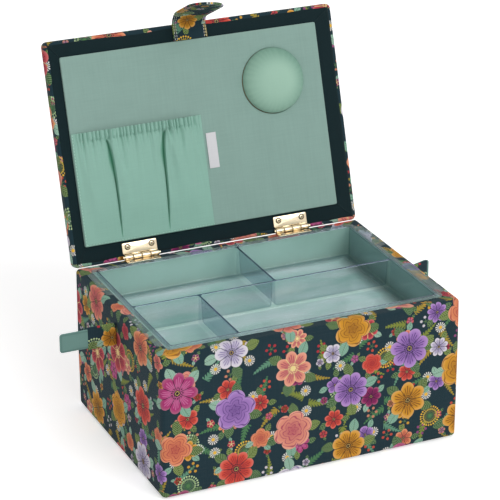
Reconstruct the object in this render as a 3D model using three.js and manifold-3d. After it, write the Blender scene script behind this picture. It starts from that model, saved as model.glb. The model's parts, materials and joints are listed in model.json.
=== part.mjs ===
// A fabric-covered sewing box with a hinged lid, a clear lift-out tray, a lid panel with a
// pincushion and an elasticated pocket, a closure tab and two side pulls.
// Millimetres, +Z up, the origin on the underside at the middle of the box. The front is -Y.
// The lid is drawn shut about its hinge line and then turned open.

import * as THREE from 'three';
import { mergeVertices } from 'three/addons/utils/BufferGeometryUtils.js';
import { RoundedBoxGeometry } from 'three/addons/geometries/RoundedBoxGeometry.js';
import Module from 'manifold-3d';

const wasm = await Module();
wasm.setup();

// Box body
const boxWidth = 260;
const boxDepth = 187;
const baseHeight = 124;
const edgeRadius = 4;
const coverThickness = 1.2;
const coverHem = 16;
const coverTurnIn = 13;
const turnInThickness = 0.8;
const wallBoardThickness = 8.6;
const bottomBoardThickness = 6;
const boardEdgeEase = 0.6;
const undersidePanelThickness = 1;
const undersidePanelInset = 10;
const liningThickness = 1.8;
const liningDrop = 1.5;

// Clearances: between pieces in a turned group, round moving pieces, and past a face that is cut
const layerGap = 0.3;
const runningGap = 0.3;
const cutOverrun = 2;

// Tray
const trayFit = 1.2;
const trayDepth = 25;
const trayWall = 1.2;
const trayDraft = 0.9;
const trayCornerRadius = 3;
const trayFlangeThickness = 0.9;
const trayBeadHeight = 1.4;
const trayBeadReach = 0.8;
const trayDividerRise = 0.2;
const flangeStripReach = 3;
const flangeNarrowReach = 3.8;
const flangeWideReach = 9.2;
const longDividerY = 1.5;
const backDividerX = 10;
const frontDividerX = -58;
// Places along the tray's half depth where the side flange widens and narrows, front to back
const flangeFrontEndShare = 0.94;
const flangeFrontStepShare = 0.18;
const flangeNarrowFrontShare = 0.11;
const flangeNarrowBackShare = 0.24;
const flangeBackStepShare = 0.52;
const flangeBackEndShare = 0.94;

// Lid
const lidSideOverhang = 0.5;
const lidFrontOverhang = 1.3;
const lidThickness = 12;
const lidOpenAngle = 107.5;
const lidCoverThickness = 1;
const lidHem = 3.2;
const lidBoardThickness = 6.2;
const borderClothThickness = 1;
const lidBoardEdgeEase = 0.2;

// Hinges
const hingeInset = 2.2;
const hingeRise = 2.4;
const lidFaceOffset = 2.8;
const hingeSpacing = 69.4;
const hingeMiddleX = -2;
const hingeLength = 31;
const barrelRadius = 2.2;
const pinRadius = 1;
const pinPlay = 0.08;
const pinHeadRadius = 1.7;
const pinHeadLength = 0.8;
const knuckleCount = 4;
const knuckleGap = 0.3;
const leafThickness = 1;
const lidLeafReach = 12;
const leafTrayGap = 0.4;
const hingeScrewSpacing = 10.8;
const screwShankRadius = 0.9;
const screwHeadRadius = 1.9;
const screwHeadHeight = 0.7;
const screwLength = 6;
const screwHolePlay = 0.3;

// Lid panel, pincushion and pocket. Distances up the lid are measured from the hinge line
const panelWidth = 232;
const panelHeight = 158;
const panelThickness = 1.8;
const panelStart = 14.1;
const panelCornerRadius = 1.5;
// The panel sits a little to the left of the lid's middle, as it does in the photograph
const panelX = -3;
const cushionX = 67;
const cushionUp = 127.8;
const cushionHoleRadius = 27.9;
const cushionPlay = 0.4;
const cushionCardThickness = 0.6;
const cushionCrown = 11;
const cushionBulge = 1.6;
const cushionFullnessShare = 0.83;
const pocketWidth = 116;
const pocketHeight = 94;
const pocketInset = 0.4;
const pocketCloth = 0.7;
const pocketFullness = 2.5;
const pocketEdgeRise = 7;
const pocketCasing = 9.5;
const pocketPleatDepth = 1.2;
const pocketPleatWidth = 3;
const pocketPleatShares = [0.25, 0.63];
const elasticWidth = 6;
const elasticThickness = 0.5;
const elasticInset = 8;
const labelWidth = 9;
const labelHeight = 30;
const labelThickness = 0.4;
const labelUp = 62.3;
const labelGap = 2.4;

// Closure tab
const tabWidth = 30.5;
const tabLength = 64;
const tabX = -2;
const tabPly = 0.5;
const tabCurlRadius = 11;
const tabCurlAngle = 36;
const tabCurlAxisAngle = 104;
const tabFoldAngle = 47;
const tabFoldGap = 0.7;
const tabMagnetRadius = 4.5;
const tabMagnetUp = 31;
const tabMagnetThickness = 0.4;
const wallMagnetRadius = 8;
const wallMagnetThickness = 2;
const wallMagnetPlay = 0.2;

// Side pulls
const pullDrop = 19.5;
const pullPivotRadius = 2.4;
const cuffWidth = 19.5;
const cuffThickness = 2.6;
const cuffLength = 22;
const strapWidth = 16.4;
const strapThickness = 1.4;
const strapReach = 48;
const strapFoldGap = 1.4;
const strapOverlap = 9;
const strapTipRadius = 2.5;
const rightPullRestAngle = 20;
const anchorThickness = 1;
const anchorLength = 26;
const anchorNeckThickness = 1.6;
const anchorSlitPlay = 0.3;

// Places worked out from the sizes above
const halfWidth = boxWidth / 2;
const halfDepth = boxDepth / 2;
const coverBase = undersidePanelThickness;
const bottomBoardBase = coverBase + coverThickness;
const wallBoardBase = bottomBoardBase + bottomBoardThickness;
const wallBoardTop = baseHeight - coverThickness;
const boardInnerX = halfWidth - coverThickness - wallBoardThickness;
const boardInnerY = halfDepth - coverThickness - wallBoardThickness;
const turnInX = boardInnerX - turnInThickness;
const turnInY = boardInnerY - turnInThickness;
const liningFloorTop = wallBoardBase + liningThickness;
const liningTop = baseHeight - liningDrop;
const cavityX = turnInX - liningThickness;
const cavityY = turnInY - liningThickness;
const trayHalfX = cavityX - trayFit;
const trayHalfY = cavityY - trayFit;
const trayBase = baseHeight - trayDepth;
const hingeY = halfDepth - hingeInset;
const hingeZ = baseHeight + hingeRise;
const baseLeafReach = hingeY - trayHalfY - flangeStripReach - leafTrayGap;
const lidWidth = boxWidth + 2 * lidSideOverhang;
const lidBackY = hingeInset;
const lidFrontY = -(boxDepth - hingeInset + lidFrontOverhang);
const lidUnder = lidFaceOffset;
const lidTop = lidUnder + lidThickness;
const lidBoardBase = lidUnder + lidCoverThickness + layerGap;
const paddingBase = lidBoardBase + lidBoardThickness + layerGap;
const paddingTop = lidTop - lidCoverThickness - layerGap;
const panelTop = lidUnder - layerGap;
const panelFace = panelTop - panelThickness;
const tabThickness = 3 * tabPly + 2 * layerGap;
const tabHingeY = lidFrontY - tabThickness / 2 - tabFoldGap;
const tabHingeZ = lidUnder - layerGap - tabThickness / 2;
const pullHeight = baseHeight - pullDrop;
const pullPivotX = halfWidth + runningGap + pullPivotRadius;

const degrees = Math.PI / 180;

// Colours of the cloth, boards, plastic and metal
const colours = {
  print: 0x2c4550,
  mint: 0x8fb3a1,
  pocketMint: 0x95c7af,
  darkCloth: 0x1b2b2d,
  board: 0xb09a78,
  wadding: 0xe6e4de,
  plastic: 0xcfe0e2,
  brass: 0xc9a45a,
  steel: 0x9a9da1,
  label: 0xd9d6de,
};

function cloth(colour) {
  return new THREE.MeshStandardMaterial({ color: colour, roughness: 0.9, metalness: 0 });
}

function metal(colour) {
  return new THREE.MeshStandardMaterial({ color: colour, roughness: 0.25, metalness: 1 });
}

function clearPlastic() {
  return new THREE.MeshStandardMaterial({
    color: colours.plastic,
    roughness: 0.08,
    metalness: 0,
    transparent: true,
    opacity: 0.35,
  });
}

// Turns a closed geometry into a solid that can be joined and cut
function solid(geometry) {
  const bare = geometry.clone();
  bare.deleteAttribute('normal');
  bare.deleteAttribute('uv');
  const merged = mergeVertices(bare);
  return new wasm.Manifold(new wasm.Mesh({
    numProp: 3,
    vertProperties: new Float32Array(merged.getAttribute('position').array),
    triVerts: new Uint32Array(merged.index.array),
  }));
}

function geometryOf(body) {
  const mesh = body.getMesh();
  const geometry = new THREE.BufferGeometry();
  geometry.setAttribute('position', new THREE.BufferAttribute(new Float32Array(mesh.vertProperties), 3));
  geometry.setIndex(new THREE.BufferAttribute(new Uint32Array(mesh.triVerts), 1));
  geometry.computeVertexNormals();
  return geometry;
}

function block(x0, x1, y0, y1, z0, z1) {
  const geometry = new THREE.BoxGeometry(x1 - x0, y1 - y0, z1 - z0);
  geometry.translate((x0 + x1) / 2, (y0 + y1) / 2, (z0 + z1) / 2);
  return solid(geometry);
}

function easedBlock(x0, x1, y0, y1, z0, z1, radius) {
  const geometry = new RoundedBoxGeometry(x1 - x0, y1 - y0, z1 - z0, 2, radius);
  geometry.translate((x0 + x1) / 2, (y0 + y1) / 2, (z0 + z1) / 2);
  return solid(geometry);
}

function rodAlongX(radius, x0, x1, y, z, sides = 16) {
  const geometry = new THREE.CylinderGeometry(radius, radius, x1 - x0, sides);
  geometry.rotateZ(Math.PI / 2);
  geometry.translate((x0 + x1) / 2, y, z);
  return solid(geometry);
}

function rodAlongY(radius, y0, y1, x, z, sides = 32) {
  const geometry = new THREE.CylinderGeometry(radius, radius, y1 - y0, sides);
  geometry.translate(x, (y0 + y1) / 2, z);
  return solid(geometry);
}

function rodAlongZ(radius, z0, z1, x, y, sides = 32) {
  const geometry = new THREE.CylinderGeometry(radius, radius, z1 - z0, sides);
  geometry.rotateX(Math.PI / 2);
  geometry.translate(x, y, (z0 + z1) / 2);
  return solid(geometry);
}

// A block with rounded upright corners whose half sizes change evenly from z0 to z1
function taperedBlock(cx, cy, low, high, z0, z1, radius) {
  const perCorner = 4;
  const ring = (half, z) => {
    const points = [];
    for (let corner = 0; corner < 4; corner += 1) {
      const sx = corner === 0 || corner === 3 ? 1 : -1;
      const sy = corner < 2 ? 1 : -1;
      for (let step = 0; step <= perCorner; step += 1) {
        const angle = (corner + step / perCorner) * Math.PI / 2;
        const x = cx + sx * (half[0] - radius) + radius * Math.cos(angle);
        const y = cy + sy * (half[1] - radius) + radius * Math.sin(angle);
        points.push([x, y, z]);
      }
    }
    return points;
  };
  const rings = [ring(low, z0), ring(high, z1)];
  const count = rings[0].length;
  const positions = rings.flat(2);
  const indices = [];
  for (let i = 0; i < count; i += 1) {
    const next = (i + 1) % count;
    indices.push(i, next, count + next, i, count + next, count + i);
    if (i > 0 && i < count - 1) {
      indices.push(0, i + 1, i);
      indices.push(count, count + i, count + i + 1);
    }
  }
  const geometry = new THREE.BufferGeometry();
  geometry.setAttribute('position', new THREE.BufferAttribute(new Float32Array(positions), 3));
  geometry.setIndex(indices);
  return solid(geometry);
}

// A flat plate from an outline drawn on X and Y, between two heights
function plate(points, z0, z1) {
  const shape = new THREE.Shape(points.map(([x, y]) => new THREE.Vector2(x, y)));
  const geometry = new THREE.ExtrudeGeometry(shape, { depth: z1 - z0, bevelEnabled: false });
  geometry.translate(0, 0, z0);
  return solid(geometry);
}

// A closed sheet between two surfaces that share one grid: columns run along u, rows along v
function sheetBetween(columns, rows, front, back) {
  const positions = [];
  for (const surface of [front, back]) {
    for (let row = 0; row <= rows; row += 1) {
      for (let column = 0; column <= columns; column += 1) {
        positions.push(...surface(column / columns, row / rows));
      }
    }
  }
  const across = columns + 1;
  const layer = across * (rows + 1);
  const at = (column, row, side) => side * layer + row * across + column;
  const indices = [];
  const quad = (a, b, c, d) => indices.push(a, b, c, a, c, d);
  for (let row = 0; row < rows; row += 1) {
    for (let column = 0; column < columns; column += 1) {
      quad(at(column, row, 0), at(column + 1, row, 0), at(column + 1, row + 1, 0), at(column, row + 1, 0));
      quad(at(column, row, 1), at(column, row + 1, 1), at(column + 1, row + 1, 1), at(column + 1, row, 1));
    }
  }
  for (let column = 0; column < columns; column += 1) {
    quad(at(column, 0, 0), at(column, 0, 1), at(column + 1, 0, 1), at(column + 1, 0, 0));
    quad(at(column, rows, 0), at(column + 1, rows, 0), at(column + 1, rows, 1), at(column, rows, 1));
  }
  for (let row = 0; row < rows; row += 1) {
    quad(at(0, row, 0), at(0, row + 1, 0), at(0, row + 1, 1), at(0, row, 1));
    quad(at(columns, row, 0), at(columns, row, 1), at(columns, row + 1, 1), at(columns, row + 1, 0));
  }
  const geometry = new THREE.BufferGeometry();
  geometry.setAttribute('position', new THREE.BufferAttribute(new Float32Array(positions), 3));
  geometry.setIndex(indices);
  return geometry;
}

const box = new THREE.Group();
const lid = new THREE.Group();
lid.position.set(0, hingeY, hingeZ);
lid.rotation.x = -lidOpenAngle * degrees;
box.add(lid);

function add(group, name, body, material) {
  const mesh = new THREE.Mesh(body.isBufferGeometry ? body : geometryOf(body), material);
  mesh.name = name;
  group.add(mesh);
  return mesh;
}

// Screws: a domed head on a leaf and a shank down into the board
function screw(x, y, faceZ, direction) {
  const headTop = faceZ + direction * screwHeadHeight;
  const shankEnd = faceZ - direction * screwLength;
  const head = rodAlongZ(screwHeadRadius, Math.min(faceZ, headTop), Math.max(faceZ, headTop), x, y, 12);
  const shankFrom = Math.min(headTop, shankEnd);
  const shankTo = Math.max(headTop, shankEnd);
  return head.add(rodAlongZ(screwShankRadius, shankFrom, shankTo, x, y, 8));
}

function screwHole(x, y, z0, z1) {
  return rodAlongZ(screwShankRadius + screwHolePlay, z0, z1, x, y, 8);
}

const hingeCentres = [hingeMiddleX - hingeSpacing, hingeMiddleX + hingeSpacing];
const screwXs = hingeCentres.flatMap((x) => [x - hingeScrewSpacing, x + hingeScrewSpacing]);
const baseScrewY = hingeY - (baseLeafReach + barrelRadius) / 2;
const lidScrewY = -(lidLeafReach + barrelRadius + lidFaceOffset) / 2;
const lidLeafTop = lidUnder - layerGap;
const lidLeafFace = lidLeafTop - leafThickness;
const baseLeafTop = baseHeight + leafThickness;

// Base boards: one eased block, parted into a bottom and four walls
function baseBoards() {
  const core = easedBlock(
    -halfWidth + coverThickness, halfWidth - coverThickness,
    -halfDepth + coverThickness, halfDepth - coverThickness,
    bottomBoardBase, wallBoardTop,
    edgeRadius - coverThickness + boardEdgeEase,
  );
  const far = boxWidth;
  const bottom = core.intersect(block(-far, far, -far, far, bottomBoardBase - cutOverrun, wallBoardBase));
  const walls = core.intersect(block(-far, far, -far, far, wallBoardBase, baseHeight));
  const front = walls.intersect(block(-far, far, -far, -boardInnerY, 0, baseHeight));
  const back = walls.intersect(block(-far, far, boardInnerY, far, 0, baseHeight));
  const left = walls.intersect(block(-far, -boardInnerX, -boardInnerY, boardInnerY, 0, baseHeight));
  const right = walls.intersect(block(boardInnerX, far, -boardInnerY, boardInnerY, 0, baseHeight));
  return { bottom, front, back, left, right };
}

const wallMagnetZ = hingeZ + tabHingeZ - tabMagnetUp;
const magnetFace = -halfDepth + coverThickness;
const anchorFaceX = halfWidth - coverThickness;
const anchorHalf = anchorLength / 2;
const boards = baseBoards();
const board = cloth(colours.board);
const screwHoleEnd = baseHeight - screwLength - cutOverrun;
const boardScrewHoles = screwXs.map((x) => screwHole(x, baseScrewY, screwHoleEnd, baseHeight));
const magnetRecess = rodAlongY(
  wallMagnetRadius + wallMagnetPlay,
  magnetFace - cutOverrun,
  magnetFace + wallMagnetThickness + wallMagnetPlay,
  tabX,
  wallMagnetZ,
);

function anchorRecess(side) {
  const near = anchorFaceX - anchorThickness - layerGap;
  const far = anchorFaceX + cutOverrun;
  const halfY = anchorHalf + layerGap;
  const halfZ = cuffWidth / 2 + layerGap;
  return block(
    Math.min(side * near, side * far), Math.max(side * near, side * far),
    -halfY, halfY,
    pullHeight - halfZ, pullHeight + halfZ,
  );
}

add(box, 'bottom_board', boards.bottom, board);
add(box, 'front_board', boards.front.subtract(magnetRecess), board);
add(box, 'back_board', boardScrewHoles.reduce((body, hole) => body.subtract(hole), boards.back), board);
add(box, 'left_board', boards.left.subtract(anchorRecess(-1)), board);
add(box, 'right_board', boards.right.subtract(anchorRecess(1)), board);

// Printed cover: a shell round the boards, over the rim, down inside, and hemmed under the box
function baseCover() {
  let body = easedBlock(-halfWidth, halfWidth, -halfDepth, halfDepth, coverBase, baseHeight, edgeRadius);
  body = body.subtract(easedBlock(
    -halfWidth + coverThickness, halfWidth - coverThickness,
    -halfDepth + coverThickness, halfDepth - coverThickness,
    bottomBoardBase, wallBoardTop,
    edgeRadius - coverThickness,
  ));
  const turnInEnd = baseHeight - coverTurnIn;
  const turnIn = block(-boardInnerX, boardInnerX, -boardInnerY, boardInnerY, turnInEnd, baseHeight);
  body = body.add(turnIn);
  body = body.subtract(block(
    -turnInX, turnInX, -turnInY, turnInY,
    turnInEnd - cutOverrun, baseHeight + cutOverrun,
  ));
  const hemX = halfWidth - coverHem;
  const hemY = halfDepth - coverHem;
  const hemTop = bottomBoardBase + cutOverrun;
  body = body.subtract(block(-hemX, hemX, -hemY, hemY, coverBase - cutOverrun, hemTop));
  for (const x of screwXs) {
    body = body.subtract(screwHole(x, baseScrewY, wallBoardTop - cutOverrun, baseHeight + cutOverrun));
  }
  const slitY = anchorNeckThickness / 2 + anchorSlitPlay;
  const slitZ = cuffWidth / 2 + anchorSlitPlay;
  for (const side of [-1, 1]) {
    const inner = side * (anchorFaceX - cutOverrun);
    const outer = side * (halfWidth + cutOverrun);
    body = body.subtract(block(
      Math.min(inner, outer), Math.max(inner, outer),
      -slitY, slitY,
      pullHeight - slitZ, pullHeight + slitZ,
    ));
  }
  return body;
}

add(box, 'base_cover', baseCover(), cloth(colours.print));
add(box, 'underside_panel', block(
  -halfWidth + undersidePanelInset, halfWidth - undersidePanelInset,
  -halfDepth + undersidePanelInset, halfDepth - undersidePanelInset,
  0, undersidePanelThickness,
), cloth(colours.darkCloth));

// Cloth-covered lining cards
const mint = cloth(colours.mint);
add(box, 'lining_bottom', block(
  -boardInnerX, boardInnerX, -boardInnerY, boardInnerY, wallBoardBase, liningFloorTop,
), mint);
add(box, 'lining_front', block(-turnInX, turnInX, -turnInY, -cavityY, liningFloorTop, liningTop), mint);
add(box, 'lining_back', block(-turnInX, turnInX, cavityY, turnInY, liningFloorTop, liningTop), mint);
add(box, 'lining_left', block(-turnInX, -cavityX, -cavityY, cavityY, liningFloorTop, liningTop), mint);
add(box, 'lining_right', block(cavityX, turnInX, -cavityY, cavityY, liningFloorTop, liningTop), mint);

// Tray: one moulding with four compartments and a flange that rests on the rim
function trayBody() {
  const topHalf = [trayHalfX, trayHalfY];
  const lowHalf = [trayHalfX - trayDraft, trayHalfY - trayDraft];
  const outer = taperedBlock(0, 0, lowHalf, topHalf, trayBase, baseHeight, trayCornerRadius);
  const beadHalf = [trayHalfX + trayBeadReach, trayHalfY + trayBeadReach];
  const beadTop = baseHeight + trayBeadHeight;
  const bead = taperedBlock(0, 0, beadHalf, beadHalf, baseHeight, beadTop, trayCornerRadius);
  const flangeTop = baseHeight + trayFlangeThickness;
  let body = outer.add(bead).add(plate(flangeOutline(), baseHeight, flangeTop));
  const innerX = trayHalfX - trayWall;
  const innerY = trayHalfY - trayWall;
  const rows = [
    { y0: longDividerY + trayWall / 2, y1: innerY, split: backDividerX },
    { y0: -innerY, y1: longDividerY - trayWall / 2, split: frontDividerX },
  ];
  for (const row of rows) {
    const cells = [[-innerX, row.split - trayWall / 2], [row.split + trayWall / 2, innerX]];
    for (const [x0, x1] of cells) {
      body = body.subtract(compartment(x0, x1, row.y0, row.y1));
    }
  }
  const dividerTop = baseHeight + trayDividerRise;
  const mouthHalf = [innerX, innerY];
  const innerRadius = trayCornerRadius - trayWall;
  const mouth = taperedBlock(0, 0, mouthHalf, mouthHalf, dividerTop, beadTop + cutOverrun, innerRadius);
  return body.subtract(mouth);
}

function compartment(x0, x1, y0, y1) {
  const centre = [(x0 + x1) / 2, (y0 + y1) / 2];
  const top = [(x1 - x0) / 2, (y1 - y0) / 2];
  const low = [top[0] - trayDraft, top[1] - trayDraft];
  const dividerTop = baseHeight + trayDividerRise;
  const radius = trayCornerRadius - trayWall;
  return taperedBlock(centre[0], centre[1], low, top, trayBase + trayWall, dividerTop, radius);
}

// The flange is a thin strip at front and back and has two wide ears at each end
function flangeOutline() {
  const stripY = trayHalfY + flangeStripReach;
  const wideX = trayHalfX + flangeWideReach;
  const narrowX = trayHalfX + flangeNarrowReach;
  const backward = [
    [narrowX, -stripY],
    [wideX, -flangeFrontEndShare * trayHalfY],
    [wideX, -flangeFrontStepShare * trayHalfY],
    [narrowX, -flangeNarrowFrontShare * trayHalfY],
    [narrowX, flangeNarrowBackShare * trayHalfY],
    [wideX, flangeBackStepShare * trayHalfY],
    [wideX, flangeBackEndShare * trayHalfY],
    [narrowX, stripY],
  ];
  const forward = backward.map(([x, y]) => [-x, y]).reverse();
  return [...backward, ...forward];
}

add(box, 'tray', trayBody(), clearPlastic());

// Hinges: two leaves whose knuckles alternate on one pin
function knuckles(centre, first) {
  const pitch = hingeLength / knuckleCount;
  const spans = [];
  for (let i = first; i < knuckleCount; i += 2) {
    const start = centre - hingeLength / 2 + i * pitch;
    spans.push([start + knuckleGap / 2, start + pitch - knuckleGap / 2]);
  }
  return spans;
}

// A leaf is a plate that stops short of the other leaf's knuckles, with tongues to its own
function leaf(centre, first, reach, z0, z1, pinY, pinZ) {
  const plateEnd = pinY - barrelRadius - runningGap;
  const x0 = centre - hingeLength / 2;
  let body = block(x0, x0 + hingeLength, pinY - reach, plateEnd, z0, z1);
  for (const [from, to] of knuckles(centre, first)) {
    body = body.add(block(from, to, pinY - reach, pinY, z0, z1));
    body = body.add(rodAlongX(barrelRadius, from, to, pinY, pinZ));
  }
  const bore = rodAlongX(pinRadius + pinPlay, x0 - cutOverrun, x0 + hingeLength + cutOverrun, pinY, pinZ);
  return body.subtract(bore);
}

function hingePin(centre) {
  const x0 = centre - hingeLength / 2;
  const x1 = centre + hingeLength / 2;
  const leftEnd = x0 - knuckleGap - pinHeadLength;
  let body = rodAlongX(pinRadius, leftEnd, x1 + knuckleGap + pinHeadLength, hingeY, hingeZ);
  for (const end of [leftEnd, x1 + knuckleGap]) {
    body = body.add(rodAlongX(pinHeadRadius, end, end + pinHeadLength, hingeY, hingeZ));
  }
  return body;
}

const brass = metal(colours.brass);
const hingeNames = ['left', 'right'];
hingeCentres.forEach((centre, i) => {
  let baseLeaf = leaf(centre, 0, baseLeafReach, baseHeight, baseLeafTop, hingeY, hingeZ);
  let lidLeaf = leaf(centre, 1, lidLeafReach, lidLeafFace, lidLeafTop, 0, 0);
  for (const x of [centre - hingeScrewSpacing, centre + hingeScrewSpacing]) {
    const baseHole = screwHole(x, baseScrewY, baseHeight - cutOverrun, baseLeafTop + cutOverrun);
    const lidHole = screwHole(x, lidScrewY, lidLeafFace - cutOverrun, lidLeafTop + cutOverrun);
    baseLeaf = baseLeaf.subtract(baseHole);
    lidLeaf = lidLeaf.subtract(lidHole);
  }
  add(box, `${hingeNames[i]}_hinge_base_leaf`, baseLeaf, brass);
  add(box, `${hingeNames[i]}_hinge_pin`, hingePin(centre), brass);
  add(lid, `${hingeNames[i]}_hinge_lid_leaf`, lidLeaf, brass);
});

screwXs.forEach((x, i) => {
  add(box, `base_leaf_screw_${i + 1}`, screw(x, baseScrewY, baseLeafTop, 1), brass);
  add(lid, `lid_leaf_screw_${i + 1}`, screw(x, lidScrewY, lidLeafFace - layerGap, -1), brass);
});

// Lid: printed cover, wadding, board and the dark cloth that finishes its inside
function lidBlock(inset, z0, z1, radius) {
  return easedBlock(
    -lidWidth / 2 + inset, lidWidth / 2 - inset,
    lidFrontY + inset, lidBackY - inset,
    z0, z1, radius,
  );
}

const lidCoreInset = lidCoverThickness + layerGap;
const lidCore = lidBlock(
  lidCoreInset, lidUnder + lidCoreInset, lidTop - lidCoreInset,
  edgeRadius - lidCoreInset + lidBoardEdgeEase,
);
const farLid = boxWidth;
const lidHoleEnd = lidLeafFace + screwLength + cutOverrun;
const lidScrewHoles = screwXs.map((x) => screwHole(x, lidScrewY, lidUnder - cutOverrun, lidHoleEnd));
const lidBoard = lidCore.intersect(
  block(-farLid, farLid, -farLid, farLid, lidUnder, lidBoardBase + lidBoardThickness),
);
add(lid, 'lid_board', lidScrewHoles.reduce((body, hole) => body.subtract(hole), lidBoard), board);
add(lid, 'lid_wadding', lidCore.intersect(
  block(-farLid, farLid, -farLid, farLid, paddingBase, paddingTop),
), cloth(colours.wadding));

const borderX = lidWidth / 2 - lidHem;
const borderY0 = lidFrontY + lidHem;
const borderY1 = lidBackY - lidHem;
let lidCover = lidBlock(0, lidUnder, lidTop, edgeRadius);
lidCover = lidCover.subtract(lidBlock(
  lidCoverThickness,
  lidUnder + lidCoverThickness, lidTop - lidCoverThickness,
  edgeRadius - lidCoverThickness,
));
lidCover = lidCover.subtract(block(
  -borderX, borderX, borderY0, borderY1,
  lidUnder - cutOverrun, lidUnder + lidCoverThickness + cutOverrun,
));
add(lid, 'lid_cover', lidCover, cloth(colours.print));

let borderCloth = block(
  -borderX + layerGap, borderX - layerGap,
  borderY0 + layerGap, borderY1 - layerGap,
  lidUnder, lidUnder + borderClothThickness,
);
borderCloth = lidScrewHoles.reduce((body, hole) => body.subtract(hole), borderCloth);
add(lid, 'lid_border_cloth', borderCloth, cloth(colours.darkCloth));

// Raised lining panel with the round hole for the pincushion
const panelY1 = -panelStart;
const panelY0 = -panelStart - panelHeight;
const cushionHole = rodAlongZ(
  cushionHoleRadius, panelFace - cutOverrun, panelTop + cutOverrun, cushionX, -cushionUp, 48,
);
const panelHalf = [panelWidth / 2, panelHeight / 2];
const panelPlate = taperedBlock(
  panelX, (panelY0 + panelY1) / 2, panelHalf, panelHalf, panelFace, panelTop, panelCornerRadius,
);
add(lid, 'lid_panel', panelPlate.subtract(cushionHole), mint);

// Pincushion: a card disc and a stuffed dome that bulges a little past the hole's edge
const cushionRadius = cushionHoleRadius - cushionPlay;
const cardFace = panelTop - cushionCardThickness;
add(lid, 'pincushion_card', rodAlongZ(cushionRadius, cardFace, panelTop, cushionX, -cushionUp, 40), board);

function cushionGeometry() {
  const steps = 12;
  const base = cardFace - layerGap;
  const mouth = panelFace;
  const rise = mouth - cushionCrown;
  const profile = [new THREE.Vector2(0, base), new THREE.Vector2(cushionRadius - cushionBulge, base)];
  profile.push(new THREE.Vector2(cushionRadius, (base + mouth) / 2));
  for (let i = 0; i <= steps; i += 1) {
    const angle = i / steps * Math.PI / 2;
    const radius = cushionRadius * Math.cos(angle) ** cushionFullnessShare;
    const height = mouth + (rise - mouth) * Math.sin(angle) ** cushionFullnessShare;
    profile.push(new THREE.Vector2(i === steps ? 0 : radius, height));
  }
  const geometry = new THREE.LatheGeometry(profile.reverse(), 40);
  geometry.rotateX(Math.PI / 2);
  geometry.translate(cushionX, -cushionUp, 0);
  return geometry;
}

// Pocket: a gathered sheet sewn down on three sides, its two main folds pressed to the panel
const pocketX0 = panelX - panelWidth / 2 + pocketInset;
const pocketY1 = panelY1 - pocketInset;

function smoothRise(distance, span) {
  const share = Math.min(Math.max(distance / span, 0), 1);
  return share * share * (3 - 2 * share);
}

function pocketDepth(acrossShare, upShare) {
  const across = acrossShare * pocketWidth;
  const up = upShare * pocketHeight;
  const fromSide = Math.min(across, pocketWidth - across);
  const casing = smoothRise(up - (pocketHeight - 2 * pocketCasing), pocketCasing);
  let folds = 0;
  for (const share of pocketPleatShares) {
    const off = (across - share * pocketWidth) / pocketPleatWidth;
    folds += pocketPleatDepth * Math.exp(-off * off);
  }
  const full = pocketFullness - pocketCloth - layerGap - folds * (1 - casing);
  const rise = smoothRise(fromSide, pocketEdgeRise) * smoothRise(up, pocketEdgeRise);
  return layerGap + pocketCloth + full * rise;
}

function pocketSurface(offset) {
  return (acrossShare, upShare) => [
    pocketX0 + acrossShare * pocketWidth,
    pocketY1 - upShare * pocketHeight,
    panelFace - pocketDepth(acrossShare, upShare) + offset,
  ];
}

const pocketSheet = sheetBetween(40, 8, pocketSurface(0), pocketSurface(pocketCloth));
add(lid, 'pocket', pocketSheet, cloth(colours.pocketMint));
const elasticTop = panelFace - layerGap;
const elasticUp = pocketHeight - (pocketCasing + elasticWidth) / 2;
add(lid, 'pocket_elastic', block(
  pocketX0 + elasticInset, pocketX0 + pocketWidth - elasticInset,
  pocketY1 - elasticUp - elasticWidth, pocketY1 - elasticUp,
  elasticTop - elasticThickness, elasticTop,
), cloth(colours.wadding));
const labelX0 = pocketX0 + pocketWidth + labelGap;
add(lid, 'pocket_label', block(
  labelX0, labelX0 + labelWidth,
  -labelUp - labelHeight, -labelUp,
  panelFace - layerGap - labelThickness, panelFace - layerGap,
), cloth(colours.label));
add(lid, 'pincushion', cushionGeometry(), mint);

// Closure tab: three plies with a magnet in the middle one. The root lies on the lid's border
const rootBack = panelY0 - layerGap;
const rootFront = tabHingeY + tabThickness / 2 + layerGap;
add(lid, 'tab_root', block(
  tabX - tabWidth / 2, tabX + tabWidth / 2, rootFront, rootBack,
  tabHingeZ - tabThickness / 2, tabHingeZ + tabThickness / 2,
), cloth(colours.print));

const flap = new THREE.Group();
flap.position.set(tabX, tabHingeY, tabHingeZ);
flap.rotation.x = tabFoldAngle * degrees;
lid.add(flap);

// The flap bends round an axis that lies across it at a slant, and goes on straight after the
// bend. A point is split into its distance along that axis and its distance beyond the line
// where the bend starts
function flapPoint(x, along, offset) {
  const slant = tabCurlAxisAngle * degrees;
  const axis = [Math.sin(slant), Math.cos(slant)];
  const away = [-Math.cos(slant), Math.sin(slant)];
  const alongAxis = x * axis[0] + along * axis[1];
  const beyond = x * away[0] + along * away[1];
  const start = tabWidth / 2 * Math.abs(Math.cos(slant));
  const fullTurn = tabCurlAngle * degrees;
  const turn = Math.min(Math.max(beyond - start, 0) / tabCurlRadius, fullTurn);
  const rest = Math.max(beyond - start - tabCurlRadius * fullTurn, 0);
  const radius = tabCurlRadius - offset;
  const bent = start + radius * Math.sin(turn) + rest * Math.cos(turn);
  const out = turn > 0 ? bent : beyond;
  const down = tabCurlRadius - radius * Math.cos(turn) + rest * Math.sin(turn);
  return [
    alongAxis * axis[0] + out * away[0],
    -(alongAxis * axis[1] + out * away[1]),
    -down,
  ];
}

// Half the flap's width at a distance along it: straight, then a round end
function flapHalfWidth(along) {
  const half = tabWidth / 2;
  const into = Math.max(along - (tabLength - half), 0);
  return Math.sqrt(Math.max(half * half - into * into, 0));
}

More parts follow.
